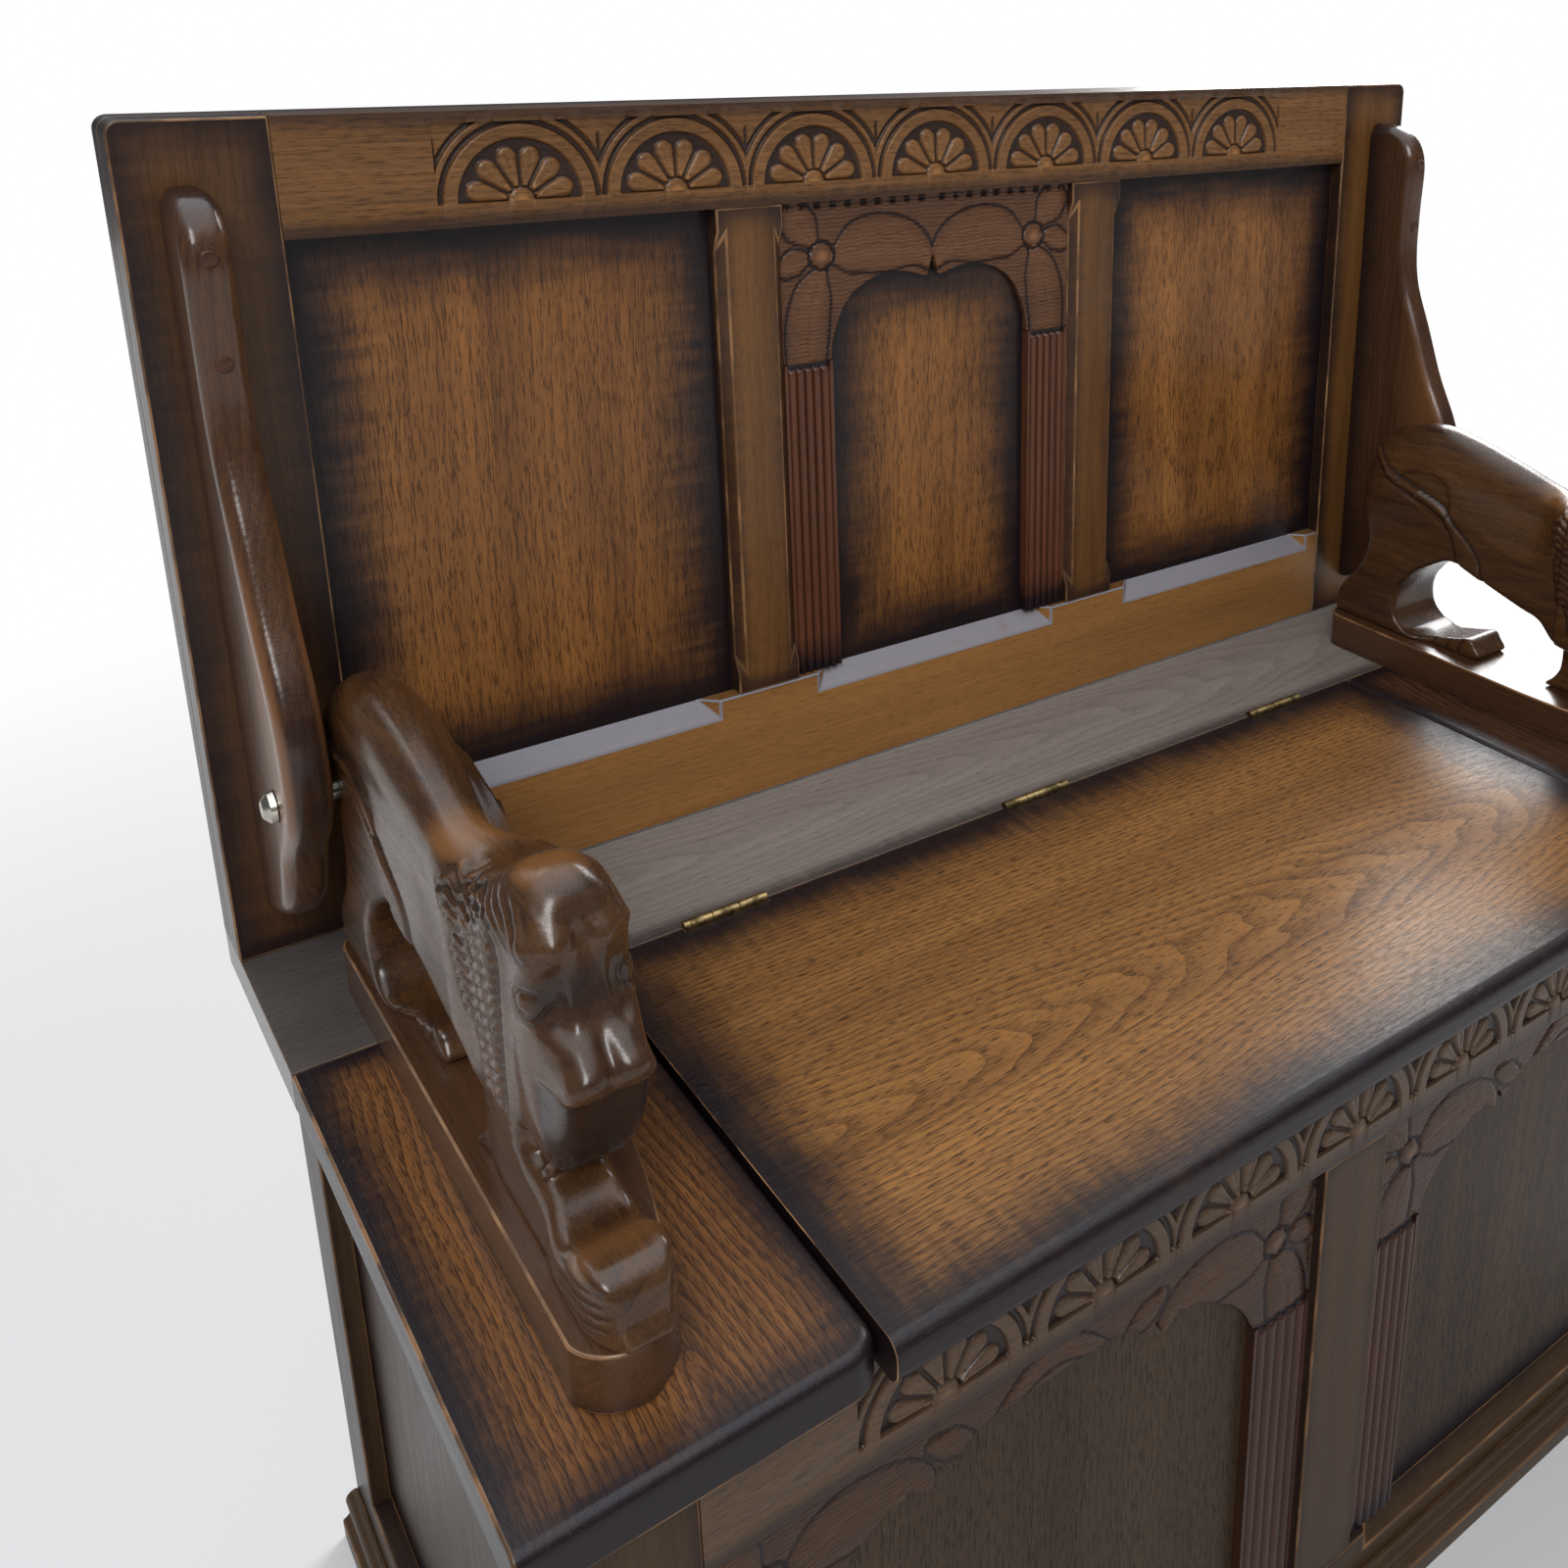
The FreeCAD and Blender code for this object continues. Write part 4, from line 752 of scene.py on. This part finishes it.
def carved_arch(name, node, half_edge, leaves):
    """Carve the arch that stands for a CAD node."""
    low, high = limits(node)
    low, high = low * 1000, high * 1000
    middle = (low.x + high.x) / 2
    half = (high.x - low.x) / 2
    right = [(middle + x, high.z - drop) for x, drop in half_edge]
    left = [(middle - x, high.z - drop) for x, drop in reversed(half_edge)]
    outline = [(high.x, high.z), (high.x, low.z)] + right + left + [(low.x, low.z), (low.x, high.z)]
    made = finished(name, slab(outline, low.y, high.y, turned=True))
    remeshed(made, ARCH_SKIN)
    relax(made, 1)
    p = places(made)
    x, y, z = p[:, 0], p[:, 1], p[:, 2]
    inward = half - np.abs(x - middle)
    drop = high.z - z

    # The leaves, each with a groove down its middle and one round its edge
    level = np.full(len(p), PLAIN_LEVEL)
    for leaf in leaves:
        away, _, wide = nearest(flowing(leaf, 3.0), inward, drop)
        wide = np.maximum(wide * 1.12, 0.5)
        body = 0.35 + 0.65 * np.sqrt(np.clip(1 - (away / wide) ** 2, 0, 1)) - 0.15 * bump(away, 0, 0.9)
        under = np.where(level > LEAF_LEVEL, level, 0)
        level = np.where(away < wide, np.maximum(body, under), level)
        groove = bump(away, wide + 0.6, 1.0) * (level < LEAF_LEVEL)
        level = np.where(away >= wide, level - 0.5 * groove, level)

    # The boss in its ring, the gouge marks, the punched squares and the beads of the leg
    reach = np.hypot(inward - BOSS[0], drop - BOSS[1])
    boss = np.sqrt(np.clip(1 - (reach / BOSS_RADIUS) ** 2, 0, 1))
    ring = bump(reach, 9.0, 0.9)
    level = np.maximum(level * (1 - ring), boss)
    gouges = 0.5 + 0.5 * np.sin(drop * 2.3 + 1.6 * np.sin(inward * 0.12) + 0.9 * np.sin(inward * 0.55))
    gouges *= (1 - boss) * (0.35 + 0.65 * level)
    square = (np.abs((inward % PUNCH_PITCH) - PUNCH_PITCH / 2) < 2.3) & (inward > 6)
    square &= (drop > 1.6) & (drop < 5.6)
    bead = (np.sin(drop * 1.05) > 0) * (np.abs(inward - 33) < 1.9) * (drop > 84)

    # Only the front is cut, and less so at the rim
    front = ease(-y, -(low.y + 2.0), -low.y)
    depth = 2.8 * (1 - np.clip(level, 0, 1)) + 0.85 * gouges + 1.6 * square - 0.5 * bead
    depth *= ease(np.minimum(drop, inward), 0.2, 1.2)
    p[:, 1] = y + front * np.clip(depth, 0, 4.0)
    move_to(made, p)
    relax(made, 1, 0.2)
    move_to(made, places(made) / 1000)
    # The level for the finish: the low ground, the ring, the punched squares and the gouges get painted
    # shade, and the leaves' tops the lighter rubbed colour, partly a painted highlight
    keep_height(made, 0.12 + 0.58 * level + 0.24 * level * (1 - gouges) - 0.3 * square - 0.25 * ring
                - 0.18 * gouges)
    return made


for node, name, half_edge in (("back_arch", "arch_back", BACK_EDGE),
                              ("front_arch_left", "arch_front_left", FRONT_EDGE),
                              ("front_arch_right", "arch_front_right", FRONT_EDGE)):
    leaves = LEAVES if node == "back_arch" else LEAVES + MIDDLE_LEAVES
    made = carved_arch(name, node, half_edge, leaves)
    tint = 1.0 if node == "back_arch" else 0.45
    material = stained_wood(node + "_wood", light=tinted((0.150, 0.066, 0.030), tint),
                            dark=tinted((0.060, 0.026, 0.013), tint), pores=0.35, figure=0.3,
                            gloss=0.30, carved=True)
    stand_in(made, node, material)


# Wings: thick boards of beech beside the back, which turn on the bolts. Each is rounded all along
# its outline, with two round plugs in its front edge.

WING_MIDDLE = 0.4295
WING_SKIN = 1.5
SEAT_TOP = 0.455
# The plugs in metres: heights above the seat, size, how deep they are set and how far they stand
# proud, and how far below a plug the lean of the face is measured.
PLUG_HEIGHTS = (0.392, 0.342)
PLUG_RADIUS = 0.0042
PLUG_LONG = 0.0016
PLUG_SUNK = 0.0010
PLUG_ROUND = 0.0007
PLUG_PROUD = 0.0004
PLUG_DROP = 0.008


def wing_face(points, middle, level):
    """Give the y of a wing's front edge at a level."""
    near = (np.abs(points[:, 2] - level) < 0.003) & (np.abs(points[:, 0] - middle) < 0.004)
    return points[near, 1].min()


def plug(place, lean):
    """Give a bmesh filler for a plug with a rounded rim, set in a leaning face."""
    def fill(shape):
        bmesh.ops.create_circle(shape, cap_ends=True, segments=32, radius=PLUG_RADIUS)
        grown = bmesh.ops.extrude_face_region(shape, geom=list(shape.faces))
        raised = [item for item in grown["geom"] if isinstance(item, bmesh.types.BMVert)]
        bmesh.ops.translate(shape, verts=raised, vec=(0, 0, PLUG_LONG))
        bmesh.ops.recalc_face_normals(shape, faces=shape.faces)
        rim = [edge for edge in shape.edges if all(vert in raised for vert in edge.verts)]
        bmesh.ops.bevel(shape, geom=rim, offset=PLUG_ROUND, segments=3, profile=0.5, affect="EDGES")
        turn = Matrix.Translation(place) @ Matrix.Rotation(math.radians(90) + lean, 4, "X")
        turn = turn @ Matrix.Translation((0, 0, -PLUG_SUNK))
        bmesh.ops.transform(shape, matrix=turn, verts=shape.verts)
        smooth_faces(shape, 1.2)
    return fill


for side, name in ((-1, "left"), (1, "right")):
    node = "wing_" + name
    middle = side * WING_MIDDLE
    made = finished(node + "_rounded", lambda shape: copied(shape, node))
    move_to(made, places(made) * 1000)
    remeshed(made, WING_SKIN)
    relax(made, 8)
    p = places(made) / 1000
    move_to(made, p)
    # The finish gives the wing's flat sides a lighter colour towards the front edge
    keep_height(made, 0.62 + 0.35 * ease(np.abs(p[:, 0] - middle), 0.004, 0.010)
                * ease(-p[:, 1], -0.18, -0.10))
    low, high = limits(node)
    edges = [("Z", low.z - 0.01, high.z + 0.01), ("Y", low.y - 0.008, high.y)]
    material = stained_wood(node + "_wood", grain="Z", light=(0.105, 0.046, 0.018),
                            dark=(0.034, 0.015, 0.009), pores=0.3, figure=0.5, gloss=0.24,
                            heart=(side * 0.33, 0.1), tilt=0.05, edges=edges, margin=0.03,
                            edge_strength=0.8, coat=0.3, carved=True)
    stand_in(made, node, material)
    for number, height in enumerate(PLUG_HEIGHTS):
        level = SEAT_TOP + height
        face = wing_face(p, middle, level)
        lean = math.atan2(face - wing_face(p, middle, level - PLUG_DROP), PLUG_DROP)
        cap = finished(f"wing_plug_{name}_{number + 1}", plug((middle, face - PLUG_PROUD, level), lean))
        cap.data.materials.append(stained_wood(cap.name + "_wood", grain="Y", light=(0.10, 0.035, 0.012),
                                               dark=(0.030, 0.012, 0.007)))
        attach(cap, body_of(frame["nodes"][node])[0])


# Lion arms: each carved from a thick board of beech, sawn to the side outline, rounded along the
# back, and cut on both faces with the tail, the thigh, the combed mane and the claws. The head is
# shaped from the end of the same board.

ARM_MIDDLE = 0.38375
BACK_FACE = 0.1955
# Half the thickness of the blank, and the evenness of its skin before and after the rounding.
LION_HALF = 31.0
ROUGH_SKIN, LION_SKIN = 1.8, 1.35
# The outline as millimetres ahead of the back and above the seat, and the rounding of its edge.
LION_OUTLINE = (
    (52, 28, 2), (52, 40, 3), (54, 49, 4), (60, 58, 5), (69, 69, 6), (75, 80, 7), (78, 91, 8),
    (78, 103, 9), (74, 115, 10), (68, 126, 12), (63, 136, 14), (59, 147, 17), (58.5, 158, 20),
    (61, 169, 23), (67, 178, 25), (76, 185, 27), (88, 190.5, 28), (106, 196, 28), (124, 198, 28),
    (142, 196, 28), (161, 192.5, 28), (182, 187.5, 27), (204, 182, 26), (225, 176.5, 25),
    (244, 172.5, 24), (258, 171, 24), (268, 172, 24), (278, 176.5, 25), (288, 182.5, 26), (299, 187.5, 27),
    (310, 189.5, 27), (319, 188, 26), (326, 183, 24), (331, 174, 18), (334, 165, 13), (336, 158, 11),
    (339, 147, 11), (343, 137, 12), (349.5, 130, 12), (355, 125, 11), (358.5, 121, 8), (359.5, 117, 6),
    (357.5, 112, 5), (354, 101, 7), (349, 86, 9), (343, 72, 10), (336, 65, 10), (324, 64, 9),
    (315, 67, 7), (309, 73, 5), (310, 66, 6), (316, 61.5, 9), (326, 60, 10), (336, 58, 11),
    (344, 53, 10), (350, 50.5, 9), (356, 51, 9), (362, 54, 9), (370, 57.5, 8), (380, 58.5, 7),
    (388, 56, 6), (393, 50, 5), (395, 40, 4), (395.5, 28, 3), (330, 28, 2), (252, 28, 2),
    (253, 34, 3), (258, 44, 3), (258.5, 57, 4), (256, 69, 5), (250, 77, 6), (242, 82.5, 6),
    (230, 85, 6), (218, 88, 6), (205, 91.5, 6), (192, 95.5, 6), (178, 100.5, 5), (168, 103, 5),
    (158, 102, 5), (146, 95.5, 5), (136, 89.5, 5), (126, 82, 5), (119, 74, 5), (114, 67, 5),
    (111.5, 59, 5), (111.5, 50, 5), (113.5, 42, 4), (119, 36, 3), (126, 32, 3), (136, 31.5, 3),
    (150, 34, 3), (168, 39, 3), (182, 43, 3), (187, 38, 3), (189, 28, 2), (120, 28, 2),
)
TAIL = ((61, 176), (63.5, 171), (69, 166), (78.5, 161), (92, 155), (111, 151), (133, 146.5),
        (149, 141.5), (162, 132), (173, 119), (181, 106), (187, 97))
THIGH_ARC = ((100, 153), (107, 160), (120, 164), (136, 164), (147, 159), (153, 152), (156, 144))
# The mane's two edges, as (height, place ahead of the back), and its locks in millimetres.
MANE_BACK = ((74, 286), (76, 280), (84, 273), (92, 272), (100, 269), (104, 261), (118, 257),
             (131, 254), (141, 257), (149, 248), (158, 243), (172, 254))
MANE_FRONT = ((70, 297), (100, 299), (150, 303), (165, 300), (190, 296))
LOCK, LOCK_SWAY, LOCK_WAVE, LOCK_LEAN = 5.6, 1.3, 13.0, 0.10
# The place that the fringe sweeps round, and the distance between its locks.
FRINGE_ROUND = (288, 146)
FRINGE_LOCK = 5.2
TOES = (138, 150, 163, 174)
# The top of the body, as (place, height); then how the parts narrow, and how far they stand out.
CREST = ((59, 165), (88, 190), (124, 198), (182, 187), (225, 176), (262, 171))
HEAD_SHARE, LEG_SHARE = 0.79, 0.66
BODY_OUT, LEG_OUT = 12.0, 8.5


def half_width(s, h):
    """Half the lion's thickness at each place of its side."""
    wide = LION_HALF - 3.0 * ease(s, 150, 215) * (1 - ease(s, 250, 285))
    head = ease(s, 300, 316) * ease(h, 58, 70)
    wide = wide - head * (3.0 + 5.0 * ease(s, 322, 350) + 4.0 * (1 - ease(h, 60, 92)))
    wide = wide - 7.0 * (1 - ease(h, 60, 72)) * ease(s, 244, 262) * (1 - ease(s, 330, 350) * 0.55)
    wide = wide - 9.0 * ease(s, 128, 150) * (1 - ease(s, 195, 200)) * (1 - ease(h, 44, 50))
    return wide


def line_at(level, stops):
    """Read a line that is given as (level, place) stops."""
    return np.interp(level, [stop[0] for stop in stops], [stop[1] for stop in stops])


def strands(s, h):
    """Combed locks as ridges that sway: 1 on a ridge, 0 in a groove."""
    level = h + LOCK_LEAN * s + LOCK_SWAY * np.sin(2 * math.pi * s / LOCK_WAVE + 0.13 * h)
    return 0.5 + 0.5 * np.sin(2 * math.pi * level / LOCK)


def lion_blank():
    """Saw one lion's board to its outline and round its edges, in millimetres from its own middle."""
    line = flowing(LION_OUTLINE, 3.0)
    made = finished("lion", slab([(s, h) for s, h, _ in line[:-1]], -LION_HALF, LION_HALF))
    remeshed(made, ROUGH_SKIN)
    relax(made, 2)
    p = places(made)
    s, h = p[:, 1], p[:, 2]
    away, _, soft = nearest(flowing(LION_OUTLINE, 2.0), s, h)
    wide = half_width(s, h)
    soft = np.minimum(np.maximum(soft, 2.0), wide * 0.92)
    inward = np.clip(away / soft, 0, 1)
    round_off = wide - soft + soft * np.sqrt(1 - (1 - inward) ** 2)
    p[:, 0] = p[:, 0] / LION_HALF * round_off
    move_to(made, p)
    remeshed(made, LION_SKIN)
    relax(made, 3)
    return made


def cut(work, groove, deep, dark):
    """Cut a groove into both flanks of the work, and paint shade into it."""
    lift, depth, flank = work
    lift -= flank * deep * groove
    depth -= dark * groove * flank


def carve_sides(p):
    """Give how far each place of a lion's sides is raised, and its level for the finish, with painted
    shade in its grooves and hollows.
    """
    s, h = p[:, 1], p[:, 2]
    out = np.abs(p[:, 0])
    flank = ease(out, 13, 21)
    lift = np.zeros(len(p))
    depth = np.full(len(p), PLAIN_LEVEL)
    work = (lift, depth, flank)

    # The tail: a cord that lies down the thigh and ends in a leaf, with painted shade in the groove round
    # it
    away, along, _ = nearest(flowing(TAIL, 2.0), s, h)
    thick = 2.7 + 0.4 * along + 6.5 * ease(along, 0.70, 0.92) * (1 - 0.6 * ease(along, 0.93, 1.0))
    cord = np.sqrt(np.clip(1 - (away / thick) ** 2, 0, 1))
    groove = bump(away, thick + 0.7, 1.1)
    lift += flank * (2.2 * cord - 1.3 * groove)
    depth -= 0.45 * groove * flank
    leaf = ease(along, 0.72, 0.85) * cord
    ribs = 0.5 + 0.5 * np.cos((s + h * 0.62) * 2.1)
    lift -= flank * leaf * 0.7 * ribs

    # The lowered patch between the tail and the thigh's arc, with painted shade in the arc's groove, and
    # the fold along the flank
    away, _, _ = nearest(flowing(THIGH_ARC, 2.0), s, h)
    inside = (h < 167 - 0.02 * (s - 125) ** 2) & (h > 150 - 0.42 * (s - 105)) & (s > 100) & (s < 157)
    patch = inside * ease(away, 0.0, 2.0)
    lift -= flank * 1.7 * patch
    cut(work, bump(away, 0, 1.2), 0.8, 0.3)
    fold = bump(h, 168 - 0.13 * (s - 140), 7) * ease(s, 135, 165) * (1 - ease(s, 225, 245))
    lift -= flank * 1.6 * fold

    # The mane: two columns of wavy locks beside a plain cheek, in three tiers; painted shade lies in the
    # grooves between the locks, along the tier lines and the parting, and the ridges are painted lighter
    back = line_at(h, MANE_BACK)
    front = line_at(h, MANE_FRONT)
    column = ease(s, back - 1, back + 2) * (1 - ease(s, front - 2, front + 1))
    column *= ease(h, 70, 80) * (1 - ease(h, 166, 176))
    locks = strands(s, h)
    tier = (bump(h, 141, 1.6) + bump(h, 103, 1.6) + bump(h, 172, 1.4)) * (s < 278)
    split = bump(s, (back + front) / 2 + 2.2 * np.sin(h / 4.5), 1.1)
    mane = column * (2.2 * locks ** 1.2 - 0.8 * tier - 0.8 * split + 0.6)
    lift += flank * mane
    depth += flank * column * (0.45 * (locks - 0.65) - 0.3 * tier - 0.2 * split)
    cut(work, bump(s, front + 1.2, 1.3) * ease(h, 74, 84) * (1 - ease(h, 158, 168)), 1.4, 0.35)
    cut(work, bump(s, back - 1.2, 1.2) * ease(h, 76, 80) * (1 - ease(h, 160, 168)), 1.1, 0.3)

    # The fringe that sweeps from behind the crown down to the brow, with painted shade in its grooves and
    # its ridges painted lighter
    sweep = ease(s, 258, 266) * (1 - ease(s, 322, 332)) * ease(h, 156 + 0.02 * (s - 262), 164)
    sweep *= 1 - ease(h, 176, 183)
    ahead, below = s - FRINGE_ROUND[0], FRINGE_ROUND[1] - h
    turn = np.arctan2(below, ahead)
    reach = np.hypot(ahead, below)
    combed = 0.5 + 0.5 * np.sin(2 * math.pi * (reach + 1.5 * np.sin(turn * 4)) / FRINGE_LOCK)
    outer = ease(out, 9, 15)
    lift += outer * sweep * (1.6 * combed ** 1.2 - 0.5)
    depth += outer * sweep * 0.45 * (combed - 0.65)

    # The eye in its hollow under the brow, with lids round it, and the full cheek; the hollow and the
    # creases round the lids get painted shade
    hollow = bump(s, 334, 7.5) * bump(h, 146, 8.5)
    lift -= ease(out, 8, 14) * 5.6 * hollow
    depth -= 0.25 * hollow
    brow = bump(s, 328, 7) * bump(h, 167, 4.5)
    lift += ease(out, 4, 10) * 3.2 * brow
    eye = np.hypot((s - 327) / 6.5, (h - 143) / 4.6)
    lift += flank * (2.6 * np.clip(1 - eye, 0, 1) ** 0.5 + 1.0 * bump(eye, 1.45, 0.16)
                     - 1.2 * bump(eye, 1.12, 0.12) + 0.8 * bump(eye, 1.9, 0.15))
    depth -= flank * (0.35 * bump(eye, 1.12, 0.14) + 0.3 * bump(eye, 1.68, 0.1))
    cheek = bump(s, 318, 8) * bump(h, 112, 22)
    lift += flank * 1.4 * cheek

    # The toes of the hind foot and the claws of the paw
    for toe in TOES:
        groove = bump(s - 0.35 * (h - 34), toe, 1.3) * ease(h, 28, 30) * (1 - ease(h, 42, 46))
        cut(work, groove, 1.3, 0.35)
    for number in range(4):
        groove = bump(h - 0.18 * (s - 372), 34 + 5.0 * number, 0.9) * ease(s, 350, 358)
        groove *= (1 - ease(s, 388, 393)) * (h < 56)
        cut(work, groove, 1.2, 0.35)
    return lift, depth


def carved_lion():
    """Carve one lion, in millimetres from its own middle, the back's face and the seat's top."""
    made = lion_blank()
    p = places(made)
    # These look into p, so a change of one of them moves the places
    u, s, h = p[:, 0], p[:, 1], p[:, 2]
    out = np.abs(u)
    lift, depth = carve_sides(p)
    u += np.sign(u) * lift

    # The face: two lobes of the muzzle with a groove between them, above a flat chin, and the brow
    front_face = ease(s, 338, 350) * bump(h, 124, 10)
    lobes = bump(out, 11, 8)
    s += front_face * (2.6 * lobes - 2.6 * bump(u, 0, 4))
    nose = ease(s, 330, 338) * ease(h, 130, 137) * (1 - ease(h, 153, 163))
    s -= nose * 4.0 * ease(out, 8, 17)
    chin = ease(s, 326, 336) * (1 - ease(h, 109, 113)) * ease(h, 58, 64)
    s -= chin * 3.0
    # The chin, which faces down, and the front plane of the face get painted shade
    depth -= 0.34 * chin
    depth -= 0.16 * ease(s, 328, 338) * ease(h, 112, 120) * (1 - ease(h, 158, 165))
    brow_front = ease(s, 320, 330) * bump(h, 167, 6) * bump(out, 11, 6)
    s += 3.4 * brow_front
    s -= 2.4 * ease(s, 325, 335) * bump(h, 168, 9) * bump(u, 0, 4)

    # Places painted lighter, partly as rubbed wear and partly as painted light on faces that look up: the
    # back behind the mane, the crown, the top of the paw and the haunch
    rubbed_and_lit = bump(s, 238, 22) * ease(h, 158, 170) + bump(s, 304, 20) * ease(h, 180, 187)
    rubbed_and_lit += (0.8 * bump(s, 368, 18) * ease(h, 44, 52) * (h < 62)
               + 0.5 * bump(s, 92, 30) * ease(h, 180, 190))
    depth += 0.34 * np.clip(rubbed_and_lit, 0, 1) * (1 - chin)

    # The body leans outward, so its inner side slopes back from the seat up to a narrow crest; the
    # head and the front leg are narrower, and the paw's nose is rounded
    crest = line_at(s, CREST)
    lean = ease(h, crest - 78, crest - 4) * (1 - ease(s, 228, 268))
    lean = np.maximum(lean, 0.25 * (s < 262))
    head = ease(s, 244, 276) * ease(h, 60, 72)
    leg = ease(s, 228, 252) * (1 - ease(h, 60, 76))
    narrow = (1 - 0.40 * lean) * (1 - head) * (1 - leg) + HEAD_SHARE * head + LEG_SHARE * leg * (1 - head)
    shift = BODY_OUT * lean * (1 - head) * (1 - leg) + LEG_OUT * leg * (1 - head)
    paw_nose = np.clip((s - 372) / 24, 0, 1) * (h < 66)
    p[:, 0] = u * narrow * np.sqrt(1 - 0.72 * paw_nose ** 2) + shift
    move_to(made, p)
    relax(made, 1, 0.25)
    keep_height(made, depth)
    return made


for side, name in ((-1, "left"), (1, "right")):
    node = "lion_arm_" + name
    made = carved_lion()
    made.name = "lion_" + name
    # Millimetres become metres, and ahead becomes -y. Side -1 turns x too, which keeps the faces
    # pointing out; the other lion is turned in y alone, so its faces are flipped.
    made.data.transform(Matrix(((side / 1000, 0, 0, side * ARM_MIDDLE), (0, -0.001, 0, BACK_FACE),
                                (0, 0, 0.001, SEAT_TOP), (0, 0, 0, 1))))
    if side > 0:
        made.data.flip_normals()
    # The lion's darkest colour is used only for the painted shade in its grooves, hollows, chin and face
    material = stained_wood(node + "_wood", grain="Y", light=(0.112, 0.048, 0.015),
                            dark=(0.014, 0.007, 0.005), pores=0.35, figure=0.30, rings=0.011,
                            heart=(side * 0.36, 0.20), tilt=0.05, gloss=0.25, coat=0.26,
                            edge_and_shade_colour=(0.014, 0.008, 0.007), carved=True)
    stand_in(made, node, material)
